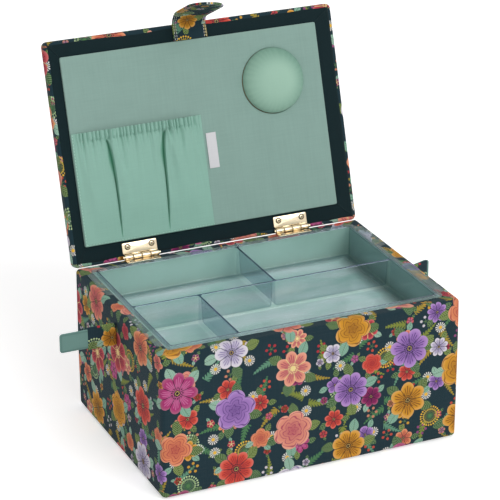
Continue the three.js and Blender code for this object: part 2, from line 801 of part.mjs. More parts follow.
const flapRows = 16;
const flapEndShare = 0.985;
function flapPly(offset) {
  const surface = (shift) => (acrossShare, upShare) => {
    const along = (1 - Math.cos(upShare * Math.PI)) / 2 * tabLength * flapEndShare;
    const x = (2 * acrossShare - 1) * flapHalfWidth(along);
    return flapPoint(x, along, offset + shift);
  };
  return sheetBetween(6, flapRows, surface(tabPly / 2), surface(-tabPly / 2));
}

const plyPitch = tabPly + layerGap;
const print = cloth(colours.print);
const flapVector = (x, along) => new THREE.Vector3(...flapPoint(x, along, 0));
const seat = flapVector(0, tabMagnetUp);
const ahead = flapVector(0, tabMagnetUp + tabMagnetRadius).sub(flapVector(0, tabMagnetUp - tabMagnetRadius));
const beside = flapVector(tabMagnetRadius, tabMagnetUp).sub(flapVector(-tabMagnetRadius, tabMagnetUp));
const facing = beside.clone().cross(ahead).normalize();

function discAtSeat(radius, thickness) {
  const geometry = new THREE.CylinderGeometry(radius, radius, thickness, 24);
  geometry.applyQuaternion(new THREE.Quaternion().setFromUnitVectors(new THREE.Vector3(0, 1, 0), facing));
  geometry.translate(seat.x, seat.y, seat.z);
  return solid(geometry);
}

const foldBead = rodAlongX(tabThickness / 2, -tabWidth / 2, tabWidth / 2, 0, 0, 16);
const beadRoom = rodAlongX(tabThickness / 2 + layerGap, -tabWidth, tabWidth, 0, 0, 16);
const magnetRoom = discAtSeat(tabMagnetRadius + layerGap, tabThickness);
const core = solid(flapPly(0)).subtract(magnetRoom).add(foldBead);
add(flap, 'closure_tab_core', core, board);
add(flap, 'closure_tab_face', solid(flapPly(plyPitch)).subtract(beadRoom), print);
add(flap, 'closure_tab_back', solid(flapPly(-plyPitch)).subtract(beadRoom), print);
const steel = metal(colours.steel);
add(flap, 'tab_magnet', discAtSeat(tabMagnetRadius, tabMagnetThickness), steel);
add(box, 'wall_magnet', rodAlongY(
  wallMagnetRadius, magnetFace, magnetFace + wallMagnetThickness, tabX, wallMagnetZ,
), steel);

// Side pulls: a printed cuff that swings on its seam, with a folded strap sewn into its end.
// Each is drawn pointing along +X from its seam and then turned to its side
function pullOutline(x0, x1, half, radius) {
  const steps = 4;
  const points = [[x0, -half]];
  for (const end of [-1, 1]) {
    for (let i = 0; i <= steps; i += 1) {
      const angle = (end < 0 ? i / steps - 1 : i / steps) * Math.PI / 2;
      const x = x1 - radius + radius * Math.cos(angle);
      points.push([x, end * (half - radius) + radius * Math.sin(angle)]);
    }
  }
  points.push([x0, half]);
  return points;
}

// Cuts a flat shape, drawn on X and Z, out of a given thickness on Y
function uprightPlate(points, y0, y1) {
  const body = plate(points, y0, y1);
  return body.rotate([90, 0, 0]).translate([0, y0 + y1, 0]);
}

function cuffBody(hollowFrom) {
  const half = cuffWidth / 2;
  const outline = [[0, -half], [cuffLength, -half], [cuffLength, half], [0, half]];
  const body = uprightPlate(outline, -cuffThickness / 2, cuffThickness / 2);
  const seam = rodAlongZ(pullPivotRadius, -half, half, 0, 0, 20);
  const strapHalf = strapWidth / 2 + layerGap;
  const slotY = strapThickness / 2 - layerGap / 2;
  const slot = block(hollowFrom, cuffLength + cutOverrun, -slotY, slotY, -strapHalf, strapHalf);
  return body.add(seam).subtract(slot);
}

const tongueThickness = strapThickness - 3 * layerGap;
const strapRoot = cuffLength - strapOverlap;
const strapOut = strapReach - runningGap - pullPivotRadius;

function straightStrap() {
  const half = strapWidth / 2;
  const band = pullOutline(cuffLength + layerGap, strapOut, half, strapTipRadius);
  const body = uprightPlate(band, -strapThickness / 2, strapThickness / 2);
  const tongue = block(
    strapRoot + layerGap, cuffLength + 2 * layerGap,
    -tongueThickness / 2, tongueThickness / 2, -half, half,
  );
  return body.add(tongue);
}

// The same strap folded back flat along the cuff's rear face
function foldedStrap() {
  const half = strapWidth / 2;
  const foldX = cuffLength + layerGap;
  const innerY = -cuffThickness / 2 - layerGap - strapFoldGap;
  const outerY = innerY - strapThickness;
  const bend = block(foldX, foldX + strapThickness, outerY, tongueThickness / 2, -half, half);
  const tongueY = tongueThickness / 2;
  const tongue = block(strapRoot + layerGap, foldX + layerGap, -tongueY, tongueY, -half, half);
  const back = block(pullPivotRadius + runningGap, foldX + strapThickness, outerY, innerY, -half, half);
  return bend.add(tongue).add(back);
}

function anchorBody(side) {
  const half = cuffWidth / 2;
  const seatX = anchorFaceX - anchorThickness;
  const neckX = halfWidth;
  const neckY = anchorNeckThickness / 2;
  const flat = block(
    Math.min(side * seatX, side * anchorFaceX), Math.max(side * seatX, side * anchorFaceX),
    -anchorHalf, anchorHalf, pullHeight - half, pullHeight + half,
  );
  return flat.add(block(
    Math.min(side * seatX, side * neckX), Math.max(side * seatX, side * neckX),
    -neckY, neckY, pullHeight - half, pullHeight + half,
  ));
}

const strapCloth = cloth(colours.mint);
const pulls = [
  { name: 'left', side: -1, turn: Math.PI, strap: straightStrap() },
  { name: 'right', side: 1, turn: rightPullRestAngle * degrees, strap: foldedStrap().mirror([0, 1, 0]) },
];
for (const pull of pulls) {
  const group = new THREE.Group();
  group.position.set(pull.side * pullPivotX, 0, pullHeight);
  group.rotation.z = pull.turn;
  box.add(group);
  add(box, `${pull.name}_pull_anchor`, anchorBody(pull.side), strapCloth);
  add(group, `${pull.name}_pull_cuff`, cuffBody(strapRoot), print);
  add(group, `${pull.name}_pull_strap`, pull.strap, strapCloth);
}

export default box;
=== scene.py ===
# %% [markdown]
# A cloth-covered sewing box, standing open.
# Each cell below makes one piece or one finish of the box. The text cell before it says what the
# piece is on the real box, how it could be made, and why it is made the way it is.
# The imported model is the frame: every piece is placed by it, in metres, with the front at -Y.

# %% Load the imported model
import json

import bmesh
import bpy
import numpy as np
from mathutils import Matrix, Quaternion, Vector


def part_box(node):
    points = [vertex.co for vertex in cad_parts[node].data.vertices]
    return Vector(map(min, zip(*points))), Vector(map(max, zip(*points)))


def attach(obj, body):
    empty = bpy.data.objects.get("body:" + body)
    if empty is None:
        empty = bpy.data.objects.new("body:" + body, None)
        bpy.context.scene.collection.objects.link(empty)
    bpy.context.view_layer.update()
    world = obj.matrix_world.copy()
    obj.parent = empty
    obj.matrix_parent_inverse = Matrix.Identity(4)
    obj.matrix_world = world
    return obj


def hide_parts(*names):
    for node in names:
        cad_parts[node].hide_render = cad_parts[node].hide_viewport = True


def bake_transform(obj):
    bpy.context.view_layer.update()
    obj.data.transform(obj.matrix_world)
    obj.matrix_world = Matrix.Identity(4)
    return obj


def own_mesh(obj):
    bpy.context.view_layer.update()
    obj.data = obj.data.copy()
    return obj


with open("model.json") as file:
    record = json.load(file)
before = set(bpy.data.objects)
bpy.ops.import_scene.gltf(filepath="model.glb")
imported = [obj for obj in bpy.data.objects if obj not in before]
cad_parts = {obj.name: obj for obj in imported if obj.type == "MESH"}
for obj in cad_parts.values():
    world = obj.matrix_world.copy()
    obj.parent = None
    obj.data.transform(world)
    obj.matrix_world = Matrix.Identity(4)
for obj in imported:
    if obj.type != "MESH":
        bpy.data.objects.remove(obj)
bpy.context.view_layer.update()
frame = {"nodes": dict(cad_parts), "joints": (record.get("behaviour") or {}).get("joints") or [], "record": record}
nodes = frame["nodes"]
joints = {joint["name"]: joint for joint in frame["joints"]}
mm = 0.001

# %% [markdown]
# The camera stands to the left of the front and looks a little down, as the photograph does. Its
# place could be set by eye, but the angles here come from lining up the box's own corners, so the
# render and the photograph can be laid over each other.

# %% Camera
view_azimuth = np.radians(-24.18)
view_elevation = np.radians(23.09)
view_roll = np.radians(0.19)
view_distance = 1908.5 * mm
view_lens = 170.2
film_width = 36
view_target = Vector((-13.1, 0, 156)) * mm

camera_data = bpy.data.cameras.new("camera")
camera_data.lens = view_lens
camera_data.sensor_width = film_width
camera = bpy.data.objects.new("camera", camera_data)
bpy.context.scene.collection.objects.link(camera)
backwards = Vector((
    np.sin(view_azimuth) * np.cos(view_elevation),
    -np.cos(view_azimuth) * np.cos(view_elevation),
    np.sin(view_elevation),
))
camera.location = view_target + backwards * view_distance
level_view = (-backwards).to_track_quat("-Z", "Y")
camera.rotation_euler = (level_view @ Quaternion((0, 0, 1), -view_roll)).to_euler()
bpy.context.scene.camera = camera
bpy.context.scene.view_settings.view_transform = "Standard"
print("camera at", [round(value, 3) for value in camera.location])

# %% [markdown]
# A shader is a graph of small nodes, and a pattern needs hundreds of them. Adding each by hand is
# hard to read. A Signal wraps one value that changes over the surface, and Python's own plus,
# minus and times then add the Math nodes, so a pattern reads as its formula.

# %% Arithmetic on shader values
class Signal:
    """One value that changes over a surface. Arithmetic on it adds Math nodes."""

    def __init__(self, tree, socket):
        self.tree = tree
        self.socket = socket

    def math(self, operation, *others):
        """The value after one of the Math node's operations, with other values or numbers."""
        node = self.tree.nodes.new("ShaderNodeMath")
        node.operation = operation
        for entry, value in zip(node.inputs, (self, *others)):
            if isinstance(value, Signal):
                self.tree.links.new(value.socket, entry)
            else:
                entry.default_value = value
        return Signal(self.tree, node.outputs[0])

    def __add__(self, other):
        return self.math("ADD", other)

    def __sub__(self, other):
        return self.math("SUBTRACT", other)

    def __rsub__(self, other):
        return (self * -1) + other

    def __mul__(self, other):
        return self.math("MULTIPLY", other)

    def __truediv__(self, other):
        return self.math("DIVIDE", other)

    def __abs__(self):
        return self.math("ABSOLUTE")

    def flipped(self):
        """One minus the value."""
        return (self * -1) + 1

    def between(self, low, high):
        """1 where the value lies between low and high, else 0."""
        return self.math("GREATER_THAN", low) * self.math("LESS_THAN", high)

    def ramp(self, low, high):
        """Rises evenly from 0 at low to 1 at high, and stays there."""
        node = self.tree.nodes.new("ShaderNodeMapRange")
        self.tree.links.new(self.socket, node.inputs["Value"])
        for entry, value in (("From Min", low), ("From Max", high)):
            if isinstance(value, Signal):
                self.tree.links.new(value.socket, node.inputs[entry])
            else:
                node.inputs[entry].default_value = value
        return Signal(self.tree, node.outputs["Result"])


print("arithmetic ready")

# %% [markdown]
# Colours are written as six hexadecimal digits, as on a paint chart, and a shader wants them as
# amounts of light. A layer of colour over another one is a Mix node whose share may change over the
# surface, which is all that a print needs.

# %% Colours and new materials
def adjust(node, **values):
    """Gives a shader node some of its settings or sockets."""
    for name, value in values.items():
        if hasattr(node, name):
            setattr(node, name, value)
        else:
            node.inputs[name.replace("_", " ")].default_value = value
    return node


def node_of(tree, kind, **values):
    """A new shader node with some of its settings or sockets given."""
    return adjust(tree.nodes.new(kind), **values)


def linear(code):
    """A colour written as six hexadecimal digits, as the linear values that shaders use."""
    shares = np.array([int(code[i:i + 2], 16) for i in (0, 2, 4)]) / 255
    steep = ((shares + 0.055) / 1.055) ** 2.4
    return (*np.where(shares <= 0.04045, shares / 12.92, steep), 1.0)


def toned(code, factor):
    """A colour made darker or paler by a factor."""
    return (*np.minimum(np.array(linear(code)[:3]) * factor, 1), 1.0)


def layered(tree, share, below, above):
    """The colour above laid over the colour below, where share says how much of it shows."""
    node = node_of(tree, "ShaderNodeMix", data_type="RGBA")
    if isinstance(share, Signal):
        tree.links.new(share.socket, node.inputs[0])
    else:
        node.inputs[0].default_value = share
    for entry, colour in ((node.inputs[6], below), (node.inputs[7], above)):
        if isinstance(colour, tuple):
            entry.default_value = colour
        else:
            tree.links.new(colour, entry)
    return node.outputs[2]


def chosen(tree, chance, codes):
    """One of several colours, picked by a chance from 0 to 1."""
    node = node_of(tree, "ShaderNodeValToRGB")
    node.color_ramp.interpolation = "CONSTANT"
    while len(node.color_ramp.elements) < len(codes):
        node.color_ramp.elements.new(0.5)
    for index, (element, code) in enumerate(zip(node.color_ramp.elements, codes)):
        element.position = index / len(codes)
        element.color = linear(code)
    tree.links.new(chance.socket, node.inputs["Fac"])
    return node.outputs["Color"]


def new_material(name):
    """An empty material: its node tree and its Principled shader."""
    material = bpy.data.materials.new(name)
    material.use_nodes = True
    tree = material.node_tree
    tree.nodes.clear()
    shader = node_of(tree, "ShaderNodeBsdfPrincipled")
    output = node_of(tree, "ShaderNodeOutputMaterial")
    tree.links.new(shader.outputs[0], output.inputs["Surface"])
    return material, tree, shader


print("colour helpers ready")

# %% [markdown]
# A pattern has to know where on the piece it is. On cloth that is the piece's own map, measured in
# metres along the threads, so that the pattern follows every fold. On a solid piece the object's
# own coordinates do. Noise from either gives the small differences that real things have.

# %% Places on a surface, noise and bump
def map_values(tree, name):
    """The two values of one of the piece's own UV maps, in metres."""
    source = node_of(tree, "ShaderNodeUVMap", uv_map=name)
    split = node_of(tree, "ShaderNodeSeparateXYZ")
    tree.links.new(source.outputs[0], split.inputs[0])
    return Signal(tree, split.outputs[0]), Signal(tree, split.outputs[1])


def object_values(tree):
    """The three object coordinates, in metres."""
    source = node_of(tree, "ShaderNodeTexCoord")
    split = node_of(tree, "ShaderNodeSeparateXYZ")
    tree.links.new(source.outputs["Object"], split.inputs[0])
    return [Signal(tree, split.outputs[i]) for i in range(3)]


def joined(tree, *values):
    """Two or three values as one vector."""
    node = node_of(tree, "ShaderNodeCombineXYZ")
    for entry, value in zip(node.inputs, values):
        if isinstance(value, Signal):
            tree.links.new(value.socket, entry)
        else:
            entry.default_value = value
    return node.outputs[0]


def noise(tree, vector, scale, detail=2.0):
    """Soft noise round 0.5 with a given number of blotches to the metre."""
    node = node_of(tree, "ShaderNodeTexNoise", Scale=scale, Detail=detail)
    tree.links.new(vector, node.inputs["Vector"])
    return Signal(tree, node.outputs[0])


def bumped(tree, shader, height, distance, strength=1.0):
    """Gives the shader a bump from a height of 0 to 1 over a distance in metres."""
    node = node_of(tree, "ShaderNodeBump", Distance=distance, Strength=strength)
    tree.links.new(height.socket, node.inputs["Height"])
    tree.links.new(node.outputs[0], shader.inputs["Normal"])


full_turn = 2 * np.pi
print("one turn is", round(full_turn, 3), "radians")

# %% [markdown]
# Woven cotton has threads that pass over and under each other, and each thread is a little thicker
# in places. An image of cloth would do that, but a formula stays sharp at any distance: two sine
# waves make the weave and noise stretched along each thread makes the slubs.

# %% Woven cloth
thread_pitch = 0.55 * mm
thread_relief = 0.12 * mm
slub_pitch = 1.1 * mm
slub_length_share = 0.04
slub_relief = 0.8
broad_patch = 22 * mm


def weave(across, up):
    """The height of plain weave: one sine across times one sine up, from 0 to 1."""
    warp = (across * (full_turn / thread_pitch)).math("SINE")
    weft = (up * (full_turn / thread_pitch)).math("SINE")
    return (warp * weft) * 0.5 + 0.5


def slubs(tree, across, up):
    """Uneven threads: two stretched noises added up, round 0.5."""
    lying = joined(tree, across * slub_length_share, up, 0.0)
    standing = joined(tree, across, up * slub_length_share, 0.5)
    lying, standing = (noise(tree, vector, 1 / slub_pitch, 1.0) for vector in (lying, standing))
    return (lying + standing) * 0.5


print("thread pitch", round(thread_pitch / mm, 2), "mm")

# %% [markdown]
# A seam shows as a row of thread ends that lie in a shallow furrow. They could be modelled one by
# one, but at this size a bump and two colours look the same: a beat along the seam parts the
# stitches, and the distance from the seam makes the furrow. The plain cloths of the box follow.

# %% Stitches and plain cloths
stitch_length = 2.6 * mm
stitch_gap_share = 0.3
stitch_width = 0.42 * mm
stitch_relief = 2.0
furrow_width = 2.2 * stitch_width
furrow_relief = 1.6
furrow_shadow = 0.35


def sewn(tree, colour, height, stitch):
    """Lays rows of stitches over a cloth. The seam map gives the way along and across the seam."""
    along, away = map_values(tree, "seam")
    for inset in stitch["insets"]:
        off = abs(away - inset)
        sunk = (along / stitch_length).math("FRACT").math("GREATER_THAN", stitch_gap_share)
        thread = off.math("LESS_THAN", stitch_width / 2) * sunk
        furrow = off.ramp(furrow_width, 0.0)
        colour = layered(tree, furrow * furrow_shadow, colour, linear(stitch["shadow"]))
        colour = layered(tree, thread, colour, linear(stitch["thread"]))
        height = height + thread * stitch_relief - furrow * furrow_relief
    return colour, height


def plain_cloth(name, code, mapped=True, contrast=0.22, stitch=None, shaded_hollow=None):
    """A one-colour woven cloth. mapped says whether it follows the piece's own cloth map. The last
    argument is the colour of painted shade, laid on where the piece's shade map says, as in creases."""
    material, tree, shader = new_material(name)
    if mapped:
        across, up = map_values(tree, "cloth")
    else:
        x, y, z = object_values(tree)
        across = x + y
        up = z + y * 0.5
    uneven = slubs(tree, across, up)
    broad = noise(tree, joined(tree, across, up, 0.0), 1 / broad_patch)
    shade = (uneven - 0.5) * contrast + (broad - 0.5) * (contrast * 0.5) + 0.5
    colour = layered(tree, shade.ramp(0.0, 1.0), toned(code, 0.55), toned(code, 1.45))
    height = weave(across, up)
    if stitch:
        colour, height = sewn(tree, colour, height, stitch)
    # Painted shade: the colour deepens where the shade map says.
    if shaded_hollow:
        colour = layered(tree, map_values(tree, "shade")[0], colour, linear(shaded_hollow))
    tree.links.new(colour, shader.inputs["Base Color"])
    adjust(shader, Roughness=0.9, Specular_IOR_Level=0.2, Sheen_Weight=0.06, Sheen_Roughness=0.5)
    bumped(tree, shader, height + uneven * slub_relief, thread_relief)
    return material


pocket_stitch = {"insets": [0.9 * mm], "thread": "bfe3d3", "shadow": "6fa48f"}
strap_stitch = {"insets": [1.3 * mm], "thread": "5f857d", "shadow": "3f5f5a"}
dark_cloth = plain_cloth("dark_cloth", "0a2125", contrast=0.3)
mint_cloth = plain_cloth("mint_cloth", "8ca9a0")
# The pocket and the pincushion take a colour of painted shade for their creases and rims.
pocket_cloth = plain_cloth(
    "pocket_cloth", "90baab", contrast=0.14, stitch=pocket_stitch, shaded_hollow="3f8f6e",
)
cushion_cloth = plain_cloth("cushion_cloth", "a0c4b1", contrast=0.08, shaded_hollow="6a9483")
# Painted light: the lining is a paler copy of the mint cloth, lighter for the dim inside of the box.
lit_lining_cloth = plain_cloth("lit_lining_cloth", "b4d4c7", mapped=False)
underside_cloth = plain_cloth("underside_cloth", "1b2b2d", mapped=False)
label_cloth = plain_cloth("label_cloth", "dcd8e2", contrast=0.1)
strap_cloth = plain_cloth("strap_cloth", "6d918a", contrast=0.1, stitch=strap_stitch)
print("cloth materials", len(bpy.data.materials))

# %% [markdown]
# The cover is printed cotton: flowers of several sizes on a dark teal ground. The print could be a
# picture, but it is drawn here by formulas. The cloth is divided into squares, each square gets its
# own random numbers, and these place one flower in it, turn it and choose its colours and form.

# %% Squares with a flower in each
ground_code = "152f38"
petal_codes = ["d8503d", "e2957b", "94245f", "d99a2c", "d9d3de"]
petal_codes += ["a97fc4", "e08a5e", "c0404a", "a42668", "dc8268"]
stripe_codes = ["8d1e2d", "a02a58", "501042", "774317", "74629c"]
stripe_codes += ["4e2e73", "a02e3c", "691c31", "c9719e", "a73054"]
heart_codes = ["2b2430", "e9d898", "241a2e", "3a2417", "241c38"]
heart_codes += ["231a40", "1f1a33", "ecd090", "1f1426", "2a1420"]
leaf_codes = ["536b33", "77a591", "667a35", "3d6238", "8ab09e", "466533"]
bloom_codes = ["cd9834", "ae2f38", "c78266", "cdc7ce", "8e4777", "c14c3c"]
sprig_codes = ["7f8a38", "4a7a50", "a08a34", "5f8f74"]
seedhead_codes = ["b9cf9a", "e9b83a"]
print_edge = 0.16 * mm
second_seed = 0.37


class Motif:
    """A point seen from the middle of its square's motif, and that square's chances."""

    def __init__(self, tree, u, v, spacing, seed, wander):
        self.tree = tree
        column = (u / spacing).math("FLOOR")
        lifted = v / spacing + column * 0.5
        row = lifted.math("FLOOR")
        self.chances = self.random(column, row, seed)
        self.more_chances = self.random(column, row, seed + second_seed)
        middle_x = (self.chances[0] - 0.5) * wander + 0.5
        middle_y = (self.chances[1] - 0.5) * wander + 0.5
        self.x = ((u / spacing).math("FRACT") - middle_x) * spacing
        self.y = (lifted.math("FRACT") - middle_y) * spacing
        self.turn = self.chances[2] * full_turn
        self.distance = (self.x * self.x + self.y * self.y).math("SQRT")
        self.angle = self.y.math("ARCTAN2", self.x) + self.turn

    def random(self, column, row, seed):
        """Three chances from 0 to 1 that are the same all over a square."""
        source = node_of(self.tree, "ShaderNodeTexWhiteNoise", noise_dimensions="3D")
        self.tree.links.new(joined(self.tree, column, row, seed), source.inputs["Vector"])
        split = node_of(self.tree, "ShaderNodeSeparateXYZ")
        self.tree.links.new(source.outputs["Color"], split.inputs[0])
        return [Signal(self.tree, split.outputs[i]) for i in range(3)]

    def turned(self, turn):
        """The point in axes that are turned by an angle: along it and across it."""
        cosine = turn.math("COSINE")
        sine = turn.math("SINE")
        along = self.x * cosine + self.y * sine
        across = self.y * cosine - self.x * sine
        return along, across

    def ray(self, count):
        """How far the point is from the nearest of some rays, which start at the middle."""
        beat = (self.angle * (count / full_turn)).math("FRACT") - 0.5
        return beat * self.distance * (full_turn / count)


def inside(edge_distance):
    """1 inside an outline and 0 outside, with a soft edge as wide as ink on cloth."""
    return edge_distance.ramp(0.0, print_edge)


print("palette of", len(petal_codes) + len(leaf_codes) + len(bloom_codes), "colours")

# %% [markdown]
# A flower is easiest to draw in distance and angle from its middle. The outline is a circle drawn
# in between the petals. Dark lines part the petals, fine strokes run out along them, and some
# flowers have wavy rings instead, as a full rose has. The middle has a disc and a ring of dots.

# %% Flowers
petal_notch = 0.28
ink_line = 0.22 * mm
petal_seam = 0.34 * mm
ring_wobble = 1.6 * mm


def bloom(tree, colour, motif, radius, fewest, more, codes, rosy_share, present=None):
    """Draws one flower per square over a colour.
    The outline is radius times (0.72 plus 0.28 times a power of how near the middle of a petal the
    angle is). A low power gives full round petals, and a high one gives pointed petals."""
    chance, hue, form = motif.more_chances
    count = (form * (more + 0.99)).math("FLOOR") + fewest
    lobe = abs((motif.angle * count * 0.5).math("COSINE"))
    size = (hue * 0.22).flipped() * radius
    roundness = motif.chances[1] * 0.7 + 0.35
    outline = size * (lobe.math("POWER", roundness) * petal_notch + (1 - petal_notch))
    petals = inside(outline - motif.distance)
    if present is not None:
        petals = petals * present
    share = motif.distance / outline
    petal, stripe, heart = (
        chosen(tree, chance, inks) for inks in (codes, stripe_codes, heart_codes)
    )
    rosy = form.math("LESS_THAN", rosy_share)
    plain = rosy.flipped()
    seam_width = motif.distance * lobe / (count * 0.5)
    seams = seam_width.math("LESS_THAN", petal_seam) * share.math("GREATER_THAN", 0.3)
    strokes = (motif.angle * count * 5.0).math("COSINE").math("GREATER_THAN", 0.35)
    strokes = strokes * share.math("GREATER_THAN", 0.36) * share.math("LESS_THAN", lobe * 0.3 + 0.5)
    wave = (motif.angle * 5.0 + motif.distance / ring_wobble).math("SINE") * 0.28
    rings = (share * 4.6 + wave).math("FRACT").math("LESS_THAN", 0.2)
    dots = (motif.angle * 17.0).math("COSINE").math("GREATER_THAN", 0.1)
    specks = (motif.angle * 9.0).math("COSINE").math("GREATER_THAN", 0.4)
    for shown, ink in (
        (share.ramp(0.9, 0.15) * 0.6, stripe),
        (share.ramp(0.8, 1.0) * 0.12, linear("fff2e8")),
        (seams * plain * 0.8, heart),
        (strokes * plain * 0.85, stripe),
        (rings * rosy * 0.75, stripe),
        (dots * share.between(0.22, 0.31) * plain, heart),
        (share.ramp(0.19, 0.17) * plain, heart),
        (specks * share.between(0.07, 0.13) * plain, linear("f3d27a")),
    ):
        petal = layered(tree, shown, petal, ink)
    return layered(tree, petals, colour, petal)


print("flower formula ready")

# %% [markdown]
# Leaves reach out from behind a flower, and sprigs fill the ground between. Both are drawn in axes
# that are turned with the motif: the way along the leaf gives its width, and the way across tells
# the midrib from the flesh. A sprig repeats a leaflet on both sides of its stem.

# %% Leaves and sprigs
vein_pitch = 1.9 * mm


def leaf(tree, colour, motif, turn, start, length, width, chance, present=None):
    """Draws a leaf from the middle outwards.
    Its half width is a parabola of the way along it, with a dark midrib and slanting veins."""
    along, across = motif.turned(turn)
    share = (along - start) / length
    half = share.ramp(0.0, 1.0) * share.ramp(1.0, 0.0) * (4 * width)
    bow = share * share * (width * 0.35)
    off = abs(across - bow)
    shape = inside(half - off) * share.between(0.0, 1.0)
    if present is not None:
        shape = shape * present
    flesh = chosen(tree, chance, leaf_codes)
    veins = ((along - off * 0.9) / vein_pitch).math("FRACT").math("LESS_THAN", 0.2)
    flesh = layered(tree, veins * 0.35, flesh, linear("dfe9c4"))
    flesh = layered(tree, off.math("LESS_THAN", ink_line) * 0.6, flesh, linear("2f4a2c"))
    return layered(tree, shape, colour, flesh)


def leaves(tree, colour, motif, leans, chances, start, length, width, present=None):
    """Draws a leaf at each of some leans, in radians, round the motif's own turn."""
    for lean, chance in zip(leans, chances):
        turn = motif.turn * -1 + lean
        colour = leaf(tree, colour, motif, turn, start, length, width, chance, present)
    return colour


leaflet_pitch = 2.7 * mm
leaflet_reach = 3.4 * mm
leaflet_tip = 0.6 * mm


def sprig(tree, colour, motif, reach, codes, present):
    """Draws a stem with paired leaflets, which shorten towards the tip."""
    along, across = motif.turned(motif.turn)
    off = abs(across - along * along * 9.0)
    stem = off.math("LESS_THAN", ink_line) * along.between(-reach, reach)
    taper = along.ramp(reach, -reach)
    beat = abs(((along - off * 0.75) / leaflet_pitch).math("FRACT") - 0.5)
    out = off / (taper * leaflet_reach + leaflet_tip)
    body = out.between(0.06, 1.0) * (beat * 2.4).math("LESS_THAN", (out - 0.45).flipped() * 0.9)
    shape = stem.math("MAXIMUM", body * along.between(-reach, reach)) * present
    return layered(tree, shape, colour, chosen(tree, motif.more_chances[1], codes))


print("leaf and sprig formulas ready")

# %% [markdown]
# The small things of the print are rings and rays round a middle: a daisy is a ring of narrow
# petals, berries are round spots on the ends of rays, and a seed head has many rays with dots.

# %% Daisies, berries and seed heads
def daisy(tree, colour, motif, radius, present):
    """Draws a small daisy: thirteen narrow petals round a yellow disc."""
    ray = (motif.angle * 13.0).math("COSINE").ramp(-0.35, 0.1)
    petals = inside(radius - motif.distance) * ray * present
    colour = layered(tree, petals, colour, linear("dedcd6"))
    disc = inside(radius * 0.34 - motif.distance)
    return layered(tree, disc * present, colour, linear("ebb83e"))


stalk_half = 0.2 * mm
berry_radius = 1.3 * mm


def berries(tree, colour, motif, radius, present):
    """Draws a ring of five round berries on short stalks."""
    off = motif.ray(5)
    stalk = abs(off).math("LESS_THAN", stalk_half) * motif.distance.math("LESS_THAN", radius)
    colour = layered(tree, stalk * present, colour, linear("5d7a4a"))
    out = motif.distance - radius
    round_off = (off * off + out * out).math("SQRT")
    berry = inside(berry_radius - round_off) * present
    return layered(tree, berry, colour, chosen(tree, motif.more_chances[0], bloom_codes))


seedhead_rays = 24
seedhead_line = 0.17 * mm
seedhead_dot = 0.75 * mm


def seedhead(tree, colour, motif, radius, present):
    """Draws a seed head: thin rays from the middle with a dot on each end and one further in."""
    off = motif.ray(seedhead_rays)
    drawn = abs(off).math("LESS_THAN", seedhead_line) * motif.distance.math("LESS_THAN", radius)
    for reach in (1.0, 0.7):
        out = motif.distance - radius * reach
        dot = (off * off + out * out).math("LESS_THAN", seedhead_dot ** 2)
        drawn = drawn.math("MAXIMUM", dot)
    outwards = motif.distance.ramp(radius * 0.3, radius)
    tip = chosen(tree, motif.more_chances[1], seedhead_codes)
    tint = layered(tree, outwards, linear("4f7a4a"), tip)
    return layered(tree, drawn * present, colour, tint)


print("seed heads have", seedhead_rays, "rays")

# %% [markdown]
# The print is built up as a printer would build it, from the back: ground, sprigs, small things,
# seed heads, and then the middle and the big flowers, each on its leaves. Each layer has its own
# size of square, so the squares never line up and the repeat doesn't show.

# %% Printed cotton
big_spacing = 50 * mm
big_radius = 17.9 * mm
middle_spacing = 31 * mm
middle_radius = 9.3 * mm
small_spacing = 15.5 * mm
small_radius = 4 * mm
sprig_spacing = 23 * mm
sprig_reach = 10.5 * mm
seedhead_spacing = 43 * mm
seedhead_radius = 8.5 * mm


def flower_print(tree, u, v):
    """The colour of the printed cotton at a place on the cloth, given in metres."""
    colour = linear(ground_code)
    sprigs = Motif(tree, u, v, sprig_spacing, 4.1, 0.35)
    often = sprigs.more_chances[2].math("LESS_THAN", 0.85)
    colour = sprig(tree, colour, sprigs, sprig_reach, sprig_codes, often)

    small = Motif(tree, u + 7 * mm, v + 3 * mm, small_spacing, 7.3, 0.4)
    kind = small.more_chances[1]
    size = (2 * mm, 4.6 * mm, 1.4 * mm)
    budded = kind.between(0.4, 0.72)
    colour = leaves(tree, colour, small, (0.9, 3.8), small.more_chances, *size, budded)
    colour = berries(tree, colour, small, small_radius, kind.between(0.0, 0.2))
    colour = daisy(tree, colour, small, small_radius * 1.15, kind.between(0.2, 0.42))
    buds = kind.between(0.42, 0.72)
    colour = bloom(tree, colour, small, small_radius, 5, 0, bloom_codes, 0.0, buds)

    heads = Motif(tree, u + 29 * mm, v + 5 * mm, seedhead_spacing, 9.7, 0.3)
    half_of_them = heads.more_chances[2].math("LESS_THAN", 0.5)
    colour = seedhead(tree, colour, heads, seedhead_radius, half_of_them)

    middle = Motif(tree, u + 19 * mm, v + 11 * mm, middle_spacing, 2.9, 0.2)
    shown = middle.chances[2].math("LESS_THAN", 0.72)
    size = (6 * mm, 8.4 * mm, 2.7 * mm)
    colour = leaves(tree, colour, middle, (0.6, 2.4, 4.3), middle.more_chances, *size, shown)
    colour = bloom(tree, colour, middle, middle_radius, 5, 3, petal_codes, 0.2, shown)

    big = Motif(tree, u, v + 21 * mm, big_spacing, 1.3, 0.12)
    leans = (0.0, 1.2, 2.9, 4.4)
    size = (11 * mm, 13.5 * mm, 4.4 * mm)
    chances = [(big.chances[i % 3] + lean).math("FRACT") for i, lean in enumerate(leans)]
    colour = leaves(tree, colour, big, leans, chances, *size)
    return bloom(tree, colour, big, big_radius, 5, 3, petal_codes, 0.35)


